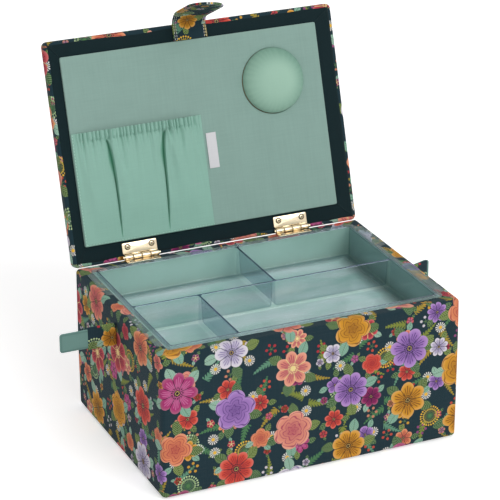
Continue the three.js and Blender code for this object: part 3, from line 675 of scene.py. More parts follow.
def printed_cloth(name, stitch=None):
    """Cotton with the flower print, following the piece's own cloth map."""
    material, tree, shader = new_material(name)
    u, v = map_values(tree, "cloth")
    colour = flower_print(tree, u, v)
    uneven = slubs(tree, u, v)
    height = weave(u, v)
    colour = layered(tree, (uneven - 0.48) * 0.2, colour, linear("5c6a6e"))
    if stitch:
        colour, height = sewn(tree, colour, height, stitch)
    tree.links.new(colour, shader.inputs["Base Color"])
    adjust(shader, Roughness=0.85, Specular_IOR_Level=0.25, Sheen_Weight=0.04)
    bumped(tree, shader, height + uneven * slub_relief, thread_relief)
    print(name, "has", len(tree.nodes), "shader nodes")
    return material


tab_stitch = {"insets": [1.1 * mm, 2.9 * mm], "thread": "d3d3cc", "shadow": "14262d"}
print_cloth = printed_cloth("print_cloth")
tab_print = printed_cloth("tab_print", tab_stitch)

# %% [markdown]
# The hinges are thin brass-plated steel: bright, with soft rolling marks along the leaf, and painted
# darker where they are seen edge on, as a dark reflection. The boards are grey card, and the wadding
# is off-white fibre. Neither needs more than flecks of noise.

# %% Brass, steel, card and wadding
rolling_pitch = 0.6 * mm
rolling_relief = 0.008 * mm
fleck_pitch = 1.5 * mm
fleck_relief = 0.1 * mm


def metal(name, code, roughness, groove_shade=None):
    """Plated metal with faint rolling marks, painted darker where it is seen edge on as a dark
    reflection. The last argument is the colour of painted shade in its grooves.
    """
    material, tree, shader = new_material(name)
    x, y, z = object_values(tree)
    marks = noise(tree, joined(tree, x * 0.15, y, z), 1 / rolling_pitch)
    colour = layered(tree, marks, toned(code, 0.9), toned(code, 1.06))
    # Painted reflection: where the metal is seen edge on, its colour goes dark brown.
    facing = node_of(tree, "ShaderNodeLayerWeight", Blend=0.4)
    edge_on = Signal(tree, facing.outputs["Facing"])
    base = np.array(linear(code)[:3])
    colour = layered(tree, edge_on.ramp(0.3, 0.95) * 0.9, colour, (*(base * base * 0.3), 1.0))
    # Painted shade in the grooves, where the shade map says.
    if groove_shade:
        colour = layered(tree, map_values(tree, "shade")[0], colour, linear(groove_shade))
    tree.links.new(colour, shader.inputs["Base Color"])
    adjust(shader, Metallic=1.0)
    gloss = (marks - 0.5) * 0.08 + roughness
    tree.links.new(gloss.socket, shader.inputs["Roughness"])
    bumped(tree, shader, marks, rolling_relief)
    return material


def card(name, code):
    """Grey board: flecks of fibre in a dull flat colour."""
    material, tree, shader = new_material(name)
    flecks = noise(tree, joined(tree, *object_values(tree)), 1 / fleck_pitch, 4.0)
    colour = layered(tree, flecks, toned(code, 0.7), toned(code, 1.25))
    tree.links.new(colour, shader.inputs["Base Color"])
    adjust(shader, Roughness=0.95)
    bumped(tree, shader, flecks, fleck_relief)
    return material


brass_code = "e2d2b4"
brass_roughness = 0.24
brass = metal("brass", brass_code, brass_roughness)
# The screws' brass carries painted shade in the ring round each head and in its cross.
screw_brass = metal("screw_brass", brass_code, brass_roughness, groove_shade="3a2d1e")
steel = metal("steel", "a2a5a9", 0.35)
grey_board = card("grey_board", "b09a78")
wadding = card("wadding", "e6e4de")
print("materials", len(bpy.data.materials))

# %% [markdown]
# The tray is clear moulded plastic. Real glass shading bends light and leaves the box dark under
# it, so the plastic here is a mix: see-through where the skin faces the eye, and a mirror where it
# is seen edge on. A map of the piece says where it is dense, as in an edge, which is tinted for
# thick plastic and painted with shade for the refraction there, and where it is hazy, as on the
# floor, where the haze is painted pale with light.

# %% Clear plastic
ripple_pitch = 14 * mm
ripple_relief = 0.05 * mm
flow_pitch = 20 * mm
clear_mirror = 0.04


def clear_plastic(name):
    """Clear moulded plastic: it mirrors more where it is seen edge on. Its edges are tinted, partly
    for thick plastic and partly as painted shade for refraction. The matt underside of its floor
    looks hazy, and the haze is painted pale, as light on the lining below would show."""
    material, tree, shader = new_material(name)
    edge_tint_and_shade, haze_and_light = map_values(tree, "seam")
    facing = node_of(tree, "ShaderNodeLayerWeight", Blend=0.5)
    edge_on = Signal(tree, facing.outputs["Facing"])
    mirror = edge_on.math("POWER", 5.0) * (1 - clear_mirror) + clear_mirror
    tint = layered(tree, edge_on.ramp(0.2, 0.95), linear("f8fbfb"), linear("c8d5de"))
    # Painted shade: edges are tinted dark blue, partly for thick plastic and partly for refraction.
    tint = layered(tree, edge_tint_and_shade * 0.9, tint, linear("56668a"))
    through = node_of(tree, "ShaderNodeBsdfTransparent")
    tree.links.new(tint, through.inputs["Color"])
    solid = mirror.math("MAXIMUM", edge_tint_and_shade * 0.5).math("MAXIMUM", haze_and_light)
    mix = node_of(tree, "ShaderNodeMixShader")
    tree.links.new(solid.socket, mix.inputs[0])
    tree.links.new(through.outputs[0], mix.inputs[1])
    tree.links.new(shader.outputs[0], mix.inputs[2])
    output = next(node for node in tree.nodes if node.type == "OUTPUT_MATERIAL")
    tree.links.new(mix.outputs[0], output.inputs["Surface"])
    x, y, z = object_values(tree)
    ripple = noise(tree, joined(tree, x, y, z), 1 / ripple_pitch)
    flow = noise(tree, joined(tree, x * 0.4, y, z), 1 / flow_pitch)
    matt = haze_and_light.math("GREATER_THAN", 0.01)
    # Painted light: the haze is pale mint, as if lit lining showed through.
    haze_and_light_colour = layered(tree, flow.ramp(0.3, 0.7), linear("c3e6d9"), linear("f2fbf7"))
    body = layered(tree, edge_tint_and_shade, linear("e4ebee"), linear("5c6c8c"))
    tree.links.new(layered(tree, matt, body, haze_and_light_colour), shader.inputs["Base Color"])
    tree.links.new((matt.flipped() * 0.8).socket, shader.inputs["Metallic"])
    tree.links.new((matt * 0.3 + 0.08).socket, shader.inputs["Roughness"])
    bumped(tree, shader, ripple, ripple_relief)
    return material


tray_plastic = clear_plastic("tray_plastic")
print("materials", len(bpy.data.materials))

# %% [markdown]
# Nearly every piece is a grid of points worked out with numpy. A patch is one such grid with its
# place on the flat cloth, and a piece is made of one or more patches. The helper turns the arrays
# into a mesh, closes its seams and poles, and ties it to the body that it moves with.

# %% Meshes from grids
def stacked(*values):
    """Numbers and arrays of matching shapes, as one array of points or map places."""
    return np.stack(np.broadcast_arrays(*values), -1)


def patch(points, cloth=None, seam=None, closed=False, shade=None):
    """One grid of points, rows by columns by three, with its cloth and seam maps in metres.
    A closed patch repeats its first column as its last, and the two are joined. shade says from
    0 to 1 where painted shade deepens the finish's colour, as in a crease."""
    flat = points[..., :2] if cloth is None else cloth
    seam = flat if seam is None else seam
    result = {"points": points, "cloth": flat, "seam": seam, "closed": closed}
    if shade is not None:
        result["shade"] = stacked(shade, 0)
    return result


def patch_faces(rows, columns, closed):
    """The corner numbers of every square, anticlockwise as columns by rows."""
    width = columns - 1 if closed else columns
    i = np.arange(rows - 1)[:, None]
    j = np.arange(columns - 1)[None, :]
    after = (j + 1) % width
    corners = [i * width + j, i * width + after, (i + 1) * width + after, (i + 1) * width + j]
    return np.stack(corners, axis=-1).reshape(-1, 4)


def corner_values(values):
    """A map's values at the four corners of every square, in the same order."""
    corners = [values[:-1, :-1], values[:-1, 1:], values[1:, 1:], values[1:, :-1]]
    return np.stack(corners, axis=2).reshape(-1, 2)


def make_piece(
    name, patches, material, body, replaces=(), sharp=np.radians(40), sheet=0.0, filled=False,
):
    """Builds a piece from its patches. sheet is the thickness that an open surface is given. Where
    filled, the flat gap between the patches' open edges is closed. Other pieces are closed by
    themselves, so their faces can all be turned outwards."""
    vertices = []
    faces = []
    for one in patches:
        rows, columns = one["points"].shape[:2]
        kept = one["points"][:, :-1] if one["closed"] else one["points"]
        faces.append(patch_faces(rows, columns, one["closed"]) + sum(len(v) for v in vertices))
        vertices.append(kept.reshape(-1, 3))
    mesh = bpy.data.meshes.new(name)
    mesh.from_pydata(np.concatenate(vertices).tolist(), [], np.concatenate(faces).tolist())
    for map_name in [key for key in ("cloth", "seam", "shade") if key in patches[0]]:
        values = np.concatenate([corner_values(one[map_name]) for one in patches])
        layer = mesh.uv_layers.new(name=map_name)
        layer.data.foreach_set("uv", values.astype(np.float32).ravel())
    work = bmesh.new()
    work.from_mesh(mesh)
    bmesh.ops.remove_doubles(work, verts=work.verts, dist=1e-6)
    bmesh.ops.dissolve_degenerate(work, edges=work.edges, dist=1e-7)
    if filled:
        bmesh.ops.scale(work, vec=[1 / mm] * 3, verts=work.verts)
        edges = [edge for edge in work.edges if edge.is_boundary]
        made = bmesh.ops.triangle_fill(work, edges=edges, use_beauty=True, normal=(0, 0, 1))["geom"]
        bmesh.ops.scale(work, vec=[mm] * 3, verts=work.verts)
        # The filled faces get the full edge tint and painted shade.
        layer = work.loops.layers.uv["seam"]
        for face in (item for item in made if isinstance(item, bmesh.types.BMFace)):
            for loop in face.loops:
                loop[layer].uv = (1, 0)
    if not sheet:
        bmesh.ops.recalc_face_normals(work, faces=work.faces)
    work.to_mesh(mesh)
    work.free()
    mesh.polygons.foreach_set("use_smooth", np.ones(len(mesh.polygons), bool))
    mesh.set_sharp_from_angle(angle=sharp)
    mesh.materials.append(material)
    piece = bpy.data.objects.new(name, mesh)
    bpy.context.scene.collection.objects.link(piece)
    if sheet:
        thickness = piece.modifiers.new("thickness", "SOLIDIFY")
        thickness.thickness = sheet
        thickness.offset = -1
    if body:
        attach(piece, body)
    if replaces:
        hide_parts(*replaces)
    print(name, "has", len(mesh.polygons), "faces")
    return piece


print("pieces are made in", bpy.context.scene.name)

# %% [markdown]
# A section is a path in a plane, made of lines and arcs, and an outline is a rectangle with round
# corners. One carried round the other gives most forms of a box: its cover, its lid, its panel and
# its tray. The way travelled along either is the cloth's own measure.

# %% Paths and outlines
def arc(middle, radius, start, end, steps):
    """Points on a circle arc in a plane, from one angle in degrees to another."""
    angles = np.radians(np.linspace(start, end, steps + 1))
    return stacked(middle[0] + radius * np.cos(angles), middle[1] + radius * np.sin(angles))


def line(start, end, steps):
    """Evenly spaced points on a straight line, both ends included."""
    shares = np.linspace(0, 1, steps + 1)[:, None]
    return np.array(start) * (1 - shares) + np.array(end) * shares


def path(*parts):
    """Parts of a path joined end to end, without doubled points."""
    points = np.concatenate(parts)
    steps = np.linalg.norm(np.diff(points, axis=0), axis=1)
    return points[np.concatenate([[True], steps > 1e-7])]


def travelled(points):
    """The distance along a path at each of its points."""
    steps = np.linalg.norm(np.diff(points, axis=0), axis=-1)
    return np.concatenate([[0], np.cumsum(steps)])


class Outline:
    """A rectangle with round corners, walked anticlockwise from the middle of its far side.
    A point is a corner's middle plus radius times the direction outwards at that point."""

    def __init__(self, across_steps, along_steps, corner_steps):
        ex, ey, angle = [], [], []
        sides = [(1, 1, 90, -1, 0), (-1, 1, 180, 0, -1), (-1, -1, 270, 1, 0), (1, -1, 360, 0, 1)]
        for start_x, start_y, facing, step_x, step_y in sides:
            count = across_steps if step_x else along_steps
            shares = np.linspace(0, 2, count + 1)
            ex.append(start_x + step_x * shares)
            ey.append(start_y + step_y * shares)
            angle.append(np.full(count + 1, float(facing)))
            corner = np.linspace(facing, facing + 90, corner_steps + 1)[1:-1]
            ex.append(np.full(len(corner), float(start_x + 2 * step_x)))
            ey.append(np.full(len(corner), float(start_y + 2 * step_y)))
            angle.append(corner)
        turn = -(across_steps // 2)
        wrap = [np.roll(np.concatenate(values), turn) for values in (ex, ey, angle)]
        self.ex, self.ey, self.angle = (np.append(values, values[0]) for values in wrap)
        self.angle = np.radians(self.angle)

    def points(self, half_x, half_y, radius):
        """The outline for one size, or one row per size if the sizes are columns."""
        x = self.ex * (half_x - radius) + radius * np.cos(self.angle)
        y = self.ey * (half_y - radius) + radius * np.sin(self.angle)
        return x, y

    def way_round(self, half_x, half_y, radius):
        """The distance walked round the outline."""
        return travelled(stacked(*self.points(half_x, half_y, radius)))


def column(values):
    """An array as a column, so that it pairs with every point of an outline."""
    return np.asarray(values)[:, None]


print("outlines run anticlockwise from the far side")

# %% [markdown]
# Glued cloth is never quite flat, and a few long waves added to a surface show it. A section is
# easier to read as a table, with a row for each of its parts. A soft edge is a quarter circle.

# %% Waves, soft steps and tables of rows
wave_count = 6


def waves(a, b, size, seed):
    """A gently uneven surface: a few sine waves of random direction, length and phase."""
    random = np.random.default_rng(seed)
    total = np.zeros(np.broadcast(a, b).shape)
    for _ in range(wave_count):
        turn = random.uniform(0, full_turn)
        length = size * random.uniform(0.6, 1.8)
        phase = random.uniform(0, full_turn)
        total = total + np.sin((a * np.cos(turn) + b * np.sin(turn)) * full_turn / length + phase)
    return total / wave_count


def smooth_step(values):
    """Rises from 0 to 1 with level ends."""
    share = np.clip(values, 0, 1)
    return share * share * (3 - 2 * share)


def section_rows(*parts):
    """The rows of a section made of several parts, a column for each value that a row has. A part
    gives each value as an array, or as one number for all its rows."""
    parts = [np.broadcast_arrays(*part) for part in parts]
    return [column(np.concatenate(values)) for values in zip(*parts)]


def rounding(edge, steps):
    """A quarter circle at an edge: how far each step lies in from the side, and from the face."""
    bend = np.linspace(0, np.pi / 2, steps)
    return edge * (1 - np.sin(bend)), edge * (1 - np.cos(bend))


print("a soft edge of 1 mm:", np.round(rounding(1.0, 5), 2).tolist())

# %% [markdown]
# The base is five boards in a glued cotton cover. The cloth goes over the rim and down inside, and
# is hemmed under the box. One sheet of points does all of it: a section through the wall, carried
# round the box's outline. The cloth map is the way round the box by the way up the section.

# %% Printed cover of the base
cover_low, cover_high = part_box("base_cover")
turn_in_low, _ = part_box("lining_left")
half_x = cover_high.x
half_y = cover_high.y
rim_z = cover_high.z
foot_z = cover_low.z
corner_radius = 4 * mm
tightest_corner = 0.4 * mm
foot_radius = 2.6 * mm
outer_rim_radius = 3 * mm
inner_rim_radius = 1.2 * mm
turn_in_inset = half_x + turn_in_low.x
turn_in_depth = 12.6 * mm
hem_inset = 15.6 * mm
wall_puff = 0.25 * mm
wall_unevenness = 0.16 * mm
rim_unevenness = 0.12 * mm
mitre_rise = 0.3 * mm
mitre_width = 0.9 * mm
cover_thickness = 0.9 * mm

wall_section = path(
    line((hem_inset, foot_z), (foot_radius, foot_z), 4),
    arc((foot_radius, foot_z + foot_radius), foot_radius, 270, 180, 8),
    line((0, foot_z + foot_radius), (0, rim_z - outer_rim_radius), 44),
    arc((outer_rim_radius, rim_z - outer_rim_radius), outer_rim_radius, 180, 90, 8),
    line((outer_rim_radius, rim_z), (turn_in_inset - inner_rim_radius, rim_z), 8),
    arc((turn_in_inset - inner_rim_radius, rim_z - inner_rim_radius), inner_rim_radius, 90, 0, 5),
    line((turn_in_inset, rim_z - inner_rim_radius), (turn_in_inset, rim_z - turn_in_depth), 5),
)
box_outline = Outline(86, 62, 9)
section_way = travelled(wall_section)
inset = column(wall_section[:, 0])
height = column(wall_section[:, 1])
round_way = box_outline.way_round(half_x, half_y, corner_radius)[None, :]
share_up = np.clip((height - foot_z) / (rim_z - foot_z), 0, 1)
outer_face = smooth_step(1 - inset / (2 * mm))
puff = outer_face * (np.sin(share_up * np.pi) ** 0.5 * wall_puff)
puff = puff + outer_face * wall_unevenness * waves(round_way, height, 60 * mm, 11)
shrunk = inset - puff
cover_x, cover_y = box_outline.points(
    half_x - shrunk, half_y - shrunk, np.maximum(corner_radius - inset, tightest_corner),
)
rim_top = smooth_step((height - (rim_z - 0.5 * mm)) / (0.4 * mm))
diagonal = np.abs(np.abs(cover_x) - np.abs(cover_y) - (half_x - half_y))
mitre = rim_top * mitre_rise * np.exp(-(diagonal / mitre_width) ** 2)
cover_z = height + rim_top * rim_unevenness * waves(round_way, inset, 25 * mm, 5) + mitre
cover_points = stacked(cover_x, cover_y, cover_z)
cover_map = stacked(round_way, column(section_way))
base_cover = make_piece(
    "printed_base_cover", [patch(cover_points, cover_map, closed=True)],
    print_cloth, "base", ["base_cover"], sheet=cover_thickness,
)

# %% [markdown]
# The boards, the lining cards and the card under the box have the right shape in the model already,
# so they stay and only get a finish.

# %% Finishes of the pieces that stay
finishes = {
    "board": grey_board,
    "wadding": wadding,
    "mint_cloth": lit_lining_cloth,
    "pocket_cloth": lit_lining_cloth,
    "strap_cloth": lit_lining_cloth,
    "dark_cloth": underside_cloth,
    "label_cloth": lit_lining_cloth,
    "print_cloth": underside_cloth,
    "clear_plastic": tray_plastic,
    "brass": brass,
    "steel": steel,
}
for subpart in frame["record"]["subparts"]:
    finish = finishes[subpart["material_slot"]]
    node = nodes[subpart["node"]]
    for place in node.material_slots:
        place.material = finish

# %% [markdown]
# The lid leans back past upright. Its pieces are worked out in the lid's own directions: across,
# up from the hinge line, and out from the hinge line towards the front. Three vectors then carry
# them into the box's frame.

# %% The lid's own directions
hinge = np.array(joints["lid_hinge"]["pos_m"])
open_angle = np.radians(joints["lid_hinge"]["range_deg"][1])
lid_up = np.array([0, -np.cos(open_angle), np.sin(open_angle)])
lid_out = np.array([0, -np.sin(open_angle), -np.cos(open_angle)])


def on_lid(across, up, out):
    """Points given across, up and out on the lid, in the box's frame."""
    return hinge + stacked(across, up, out) @ np.array([[1, 0, 0], lid_up, lid_out])


def lid_box(name):
    """The lowest and highest corner of a lid node, as across, up and out."""
    places = np.array([vertex.co for vertex in nodes[name].data.vertices]) - hinge
    own = stacked(places[:, 0], places @ lid_up, places @ lid_out)
    return own.min(0), own.max(0)


lid_low, lid_high = lid_box("lid_cover")
print("lid", [round(size / mm, 1) for size in lid_high - lid_low], "mm")

# %% [markdown]
# The lid is a padded board in the same cotton. Its cover is one surface from the hem inside the
# lid, round the edge and over the outside, where it closes in the middle. The cloth map is flat on
# the outside and goes on unrolled round the edge, so the flowers run over it unbroken.

# %% Printed cover of the lid
lid_half_x, lid_half_up = (lid_high[:2] - lid_low[:2]) / 2
lid_middle_up = (lid_high[1] + lid_low[1]) / 2
lid_face = lid_high[2]
lid_back = lid_low[2]
lid_edge_radius = 2 * mm
lid_back_radius = 5 * mm
lid_hem = 4 * mm
lid_crown = 1.6 * mm
lid_unevenness = 0.15 * mm
lid_corner_radius = 4.5 * mm
lid_tightest_corner = 0.5 * mm
lid_cover_thickness = 0.8 * mm

edge_section = path(
    line((lid_hem, lid_face), (lid_edge_radius, lid_face), 2),
    arc((lid_edge_radius, lid_face - lid_edge_radius), lid_edge_radius, 90, 180, 8),
    line((0, lid_face - lid_edge_radius), (0, lid_back + lid_back_radius), 4),
    arc((lid_back_radius, lid_back + lid_back_radius), lid_back_radius, 180, 270, 8),
)
unrolled = travelled(edge_section)
face_shares = np.linspace(0, 1, 26)[1:]
lid_inset, lid_depth, closing, rolled = section_rows(
    (edge_section[:, 0], edge_section[:, 1], 0, unrolled[-1] - unrolled),
    (lid_back_radius, lid_back, face_shares, 0),
)
lid_outline = Outline(66, 48, 8)
lid_x, lid_y = (1 - closing) * np.array(lid_outline.points(
    lid_half_x - lid_inset, lid_half_up - lid_inset,
    np.maximum(lid_corner_radius - lid_inset, lid_tightest_corner),
))
pad = (1 - (lid_x / lid_half_x) ** 4) * (1 - (lid_y / lid_half_up) ** 4)
pad = lid_crown * pad * (closing > 0) + lid_unevenness * waves(lid_x, lid_y, 70 * mm, 3)
face_x, face_y = lid_outline.points(
    lid_half_x - lid_back_radius, lid_half_up - lid_back_radius, lid_tightest_corner,
)
map_x = np.where(closing > 0, lid_x, face_x + rolled * np.cos(lid_outline.angle))
map_y = np.where(closing > 0, lid_y, face_y + rolled * np.sin(lid_outline.angle))
lid_points = on_lid(lid_x, lid_y + lid_middle_up, lid_depth - pad)
lid_cover = make_piece(
    "printed_lid_cover", [patch(lid_points[::-1], stacked(map_x, map_y)[::-1], closed=True)],
    print_cloth, "lid", ["lid_cover"], sheet=lid_cover_thickness,
)

# %% [markdown]
# Inside, a dark cloth covers the lid's board up to the hem of the print. It is folded at each
# corner, which leaves a slanting crease. It is drawn as a ring that runs under the mint panel.

# %% Dark border inside the lid
border_low, border_high = lid_box("lid_border_cloth")
panel_low, panel_high = lid_box("lid_panel")
border_rise = 0.3 * mm
border_sink = 0.1 * mm
border_overlap = 2.5 * mm
border_reach = 1.1 * mm
border_unevenness = 0.1 * mm
border_thickness = 0.5 * mm
crease_height = 0.35 * mm

border_outline = Outline(60, 44, 4)
inwards = column(np.linspace(0, 1, 9))
outer_half = (border_high - border_low)[:2] / 2
outer_middle = (border_high[1] + border_low[1]) / 2
panel_half = (panel_high - panel_low)[:2] / 2
panel_middle = (panel_high + panel_low)[:2] / 2
outer_x, outer_up = border_outline.points(*(outer_half + border_reach), 1 * mm)
inner_x, inner_up = border_outline.points(*(panel_half - border_overlap), 0.5 * mm)
border_x = outer_x * (1 - inwards) + (inner_x + panel_middle[0]) * inwards
border_up = (outer_up + outer_middle) * (1 - inwards) + (inner_up + panel_middle[1]) * inwards
lifted = smooth_step(inwards / 0.12) * border_rise - border_sink
corner_turn = np.abs(np.sin(2 * border_outline.angle))
lifted = lifted + crease_height * corner_turn * smooth_step((1 - inwards) / 0.1)
lifted = lifted + border_unevenness * waves(border_x, border_up, 30 * mm, 8)
border_points = on_lid(border_x, border_up, lid_face + lifted)
border_cloth = make_piece(
    "dark_border_cloth", [patch(border_points, stacked(border_x, border_up), closed=True)],
    dark_cloth, "lid", ["lid_border_cloth"], sheet=border_thickness,
)
strip_width = outer_half[0] + border_reach - panel_half[0] + border_overlap
strip_length = 4 * (outer_half[0] + outer_half[1] + 2 * border_reach - strip_width)

# %% [markdown]
# The mint panel is cotton wrapped over thin card, with soft edges and a round hole for the
# pincushion. The grid runs round the hole, and each row lies further out, from the hole's edge
# over the face to the panel's own edge and back behind it.

# %% Mint panel with its round hole
cushion_low, cushion_high = lid_box("pincushion_card")
cushion_x, cushion_up = (cushion_low + cushion_high)[:2] / 2
hole_radius = (cushion_high[0] - cushion_low[0]) / 2 + 0.5 * mm
panel_face = panel_high[2]
panel_back = panel_low[2]
panel_edge = 0.8 * mm
panel_corner = 1.6 * mm
panel_unevenness = 0.12 * mm

panel_outline = Outline(58, 40, 6)
side_in, face_in = rounding(panel_edge, 5)
face_rows = np.linspace(0, 1, 26)[1:-1]
# Each part: the share of the way to the rim, the hole's growth, the rim's inset, the place out.
spread, growth, rim_inset, face_out = section_rows(
    ([0], 0, panel_edge, panel_back),
    (0, face_in, panel_edge, panel_face - side_in),
    (face_rows, panel_edge, panel_edge, panel_face),
    (1, panel_edge, side_in, panel_face - face_in),
    ([1], panel_edge, 0, panel_back),
    ([0], 0, 0, panel_back),
)
rim_x, rim_up = panel_outline.points(
    panel_half[0] - rim_inset, panel_half[1] - rim_inset, panel_corner,
)
rim_x = rim_x + panel_middle[0]
rim_up = rim_up + panel_middle[1]
bearing = np.arctan2(rim_up[-1] - cushion_up, rim_x[-1] - cushion_x)
ring = hole_radius + growth
panel_x = (cushion_x + ring * np.cos(bearing)) * (1 - spread) + rim_x * spread
panel_up = (cushion_up + ring * np.sin(bearing)) * (1 - spread) + rim_up * spread
uneven = panel_unevenness * waves(panel_x, panel_up, 90 * mm, 21)
panel_points = on_lid(panel_x, panel_up, face_out + uneven * (face_out > panel_back))
make_piece(
    "mint_panel", [patch(panel_points, stacked(panel_x, panel_up), closed=True)],
    mint_cloth, "lid", ["lid_panel"],
)

# %% [markdown]
# The pincushion is a cotton disc drawn over stuffing and glued behind the panel, so it swells out
# of the hole and puckers where it is pulled in. A dome has a pole, and the grid's last row closes
# on it. The puckers fade out towards the crown, as they do in stuffed cloth.

# %% Pincushion
dome_low, dome_high = lid_box("pincushion")
dome_radius = (dome_high[0] - dome_low[0]) / 2 + 0.3 * mm
dome_shift = 0.5 * mm
dome_base = dome_low[2]
dome_foot = 0.5 * mm
dome_crown = (dome_high[2] - panel_face) * 1.2
dome_fullness = 0.93
dome_tuck = 1.6 * mm
dome_unevenness = 0.18 * mm
pucker_count = 31
pucker_depth = 0.07 * mm

turn = np.linspace(0, np.pi / 2, 30)
dome_r, dome_out = section_rows(
    ([0, dome_radius * 0.6, dome_radius - dome_tuck], dome_base),
    (dome_radius * np.cos(turn) ** dome_fullness,
     panel_face - dome_foot + (dome_crown + dome_foot) * np.sin(turn) ** dome_fullness),
)
dome_r[-1] = 0
around = np.linspace(0, full_turn, 181)
near_edge = smooth_step((dome_r - dome_radius * 0.72) / (dome_radius * 0.2))
near_edge = near_edge * (dome_out > dome_base)
puckers = np.sin(around * pucker_count + 1.7 * np.sin(around * 3) + 1.1 * np.sin(around * 7))
dome_x = cushion_x + dome_shift + dome_r * np.cos(around)
dome_up = cushion_up + dome_shift / 2 + dome_r * np.sin(around)
soft = dome_unevenness * waves(dome_x, dome_up, 26 * mm, 4) * (dome_out > panel_face)
dome_points = on_lid(dome_x, dome_up, dome_out + near_edge * puckers * pucker_depth + soft)
# Painted shade: the cloth is darker towards the rim, most on the right and at the top, a little more on the
# puckers.
near_rim = smooth_step((dome_r / dome_radius - 0.35) / 0.65)
dome_shade = 0.5 + 0.28 * np.cos(around) + 0.22 * np.sin(around) + 0.05 * puckers * near_rim
dome_shade = np.clip(near_rim * dome_shade, 0, 1)
pincushion = make_piece(
    "stuffed_pincushion",
    [patch(dome_points, stacked(dome_x, dome_up), closed=True, shade=dome_shade)],
    cushion_cloth, "lid", ["pincushion"],
)

# %% [markdown]
# The pocket is a strip of cotton much wider than its place. Elastic in its upper hem gathers it
# into ruffles, and two folds at the bottom take up the rest. It could be draped by a cloth
# simulation, but sewn edges hold it so closely that a height above the panel says it all. First
# the ruffles: they stand in the casing and die away below it, the narrow ones first.

# %% Ruffles of the pocket
pocket_low, pocket_high = lid_box("pocket")
pocket_width, pocket_height = (pocket_high - pocket_low)[:2]
casing_height = 7.6 * mm
sewn_margin = 2.2 * mm
sewn_rise = 15 * mm
bottom_rise = 34 * mm
ruffle_count = 34

share_across, share_up = np.meshgrid(np.linspace(0, 1, 397), np.linspace(0, 1, 121))
down = 1 - share_up
across = share_across * pocket_width
up = share_up * pocket_height
below = pocket_height - casing_height - up
side_gap = np.minimum(across, pocket_width - across)
sides = smooth_step((side_gap - sewn_margin) / sewn_rise)
hold = sides * smooth_step((up + 3 * mm) / bottom_rise)

in_casing = smooth_step(-below / (1.2 * mm))
wander = 0.6 * np.sin(share_across * 17) + 0.35 * np.sin(share_across * 61 + 2)
pleat = share_across * np.pi * ruffle_count
ruffles = np.abs(np.sin(pleat + wander)) ** 0.75 - 0.5
wide_ruffles = np.abs(np.sin(pleat * 0.55 + wander + 1)) ** 0.8 - 0.5
dying = 0.85 * ruffles * np.exp(-below / (5 * mm))
dying = dying + 0.7 * wide_ruffles * np.exp(-below / (13 * mm))
gathers = in_casing * ruffles + (1 - in_casing) * dying
slits = np.exp(-(ruffles + 0.5) / 0.09)
slits = slits * smooth_step(1 - np.abs(-below / casing_height - 0.45) / 0.75)
print("ruffles on a grid of", gathers.shape)

# %% [markdown]
# Below the ruffles, soft folds fan out and fade. Each one is a bell curve that widens on its way
# down. Two more folds were pressed in: the cloth drops steeply on one side of the line, a lip
# stands on the other, and painted shade darkens it inside.

# %% Folds and pressed creases of the pocket
fold_count = 17
fold_from = (0.02, -0.14, 0.2, 0.45)
fold_to = (0.98, 0.14, 0.8, 1.0)
crease_lines = ((0.2845, 0.2865, -0.075), (0.6885, 0.652, 0.05))

folds = np.zeros_like(share_across)
random = np.random.default_rng(9)
for start, lean, reach, size in random.uniform(fold_from, fold_to, (fold_count, 4)):
    off = (share_across - start - lean * down) * pocket_width
    fold_width = (1.3 + 6 * down) * mm
    folds += size * np.exp(-(off / fold_width) ** 2) * smooth_step((reach - down) / 0.45)

creases = np.zeros_like(share_across)
crease_shade = np.zeros_like(share_across)
for high_share, low_share, kick in crease_lines:
    crease_at = high_share + (low_share - high_share) * down + kick * np.exp(-down / 0.09)
    off = (share_across - crease_at) * pocket_width
    widest = np.exp(-((down - 0.27) / 0.13) ** 2)
    wedge = (0.6 + 0.5 * share_up + 1.5 * widest) * mm
    step = 0.5 + 0.5 * np.tanh(off / (0.16 * mm))
    pit = np.exp(np.minimum(off, 0) / (1.3 * wedge)) * (1 - step)
    lip = 0.22 * np.exp(-np.maximum(off, 0) / (5 * mm)) * step
    creases += pit - lip
    # Painted shade inside each crease, widest a quarter of the way down.
    dark = np.clip(1 + off / (1.7 * wedge), 0, 1) ** 0.8 * (1 - step)
    crease_shade = np.maximum(crease_shade, dark * (0.75 + 0.25 * widest))
kept = smooth_step((below + 0.5 * mm) / (3 * mm)) * smooth_step((up - 1 * mm) / (6 * mm))
print("folds", fold_count, "and pressed creases", len(crease_lines))

# %% [markdown]
# Everything is added up as one height, which a soft limit keeps just above the panel. The cloth
# map is wider than the pocket by its fullness.

# %% Gathered pocket
pocket_cloth_thickness = 0.5 * mm
pocket_clearance = 0.5 * mm
pocket_softness = 0.25 * mm
pocket_belly = 3.4 * mm
fullness = 1.25
fold_height = 2.2 * mm
crease_depth = 4.6 * mm
ruffle_height = 2.2 * mm
casing_rise = 0.5 * mm
elastic_depth = 0.9 * mm
elastic_half = 1.3 * mm
top_wave_height = 0.5 * mm

elastic_dip = np.exp(-(below / elastic_half) ** 2)
pocket_out = pocket_belly * hold * (0.8 + 0.35 * np.sin(np.pi * share_up))
pocket_out += hold * fold_height * folds - crease_depth * creases * kept * np.maximum(hold, 0.3)
pocket_out += ruffle_height * gathers * smooth_step(side_gap / (3 * mm))
pocket_out += sides * (casing_rise * in_casing - elastic_depth * elastic_dip)
pocket_out = pocket_clearance + np.logaddexp(0, pocket_out / pocket_softness) * pocket_softness
pocket_x = pocket_low[0] + across
top_wave = top_wave_height * ruffles * smooth_step(-below / casing_height) * sides
pocket_up = pocket_low[1] + up + top_wave
pocket_seam = stacked(np.where(across < up, up, across), np.minimum(across, up))
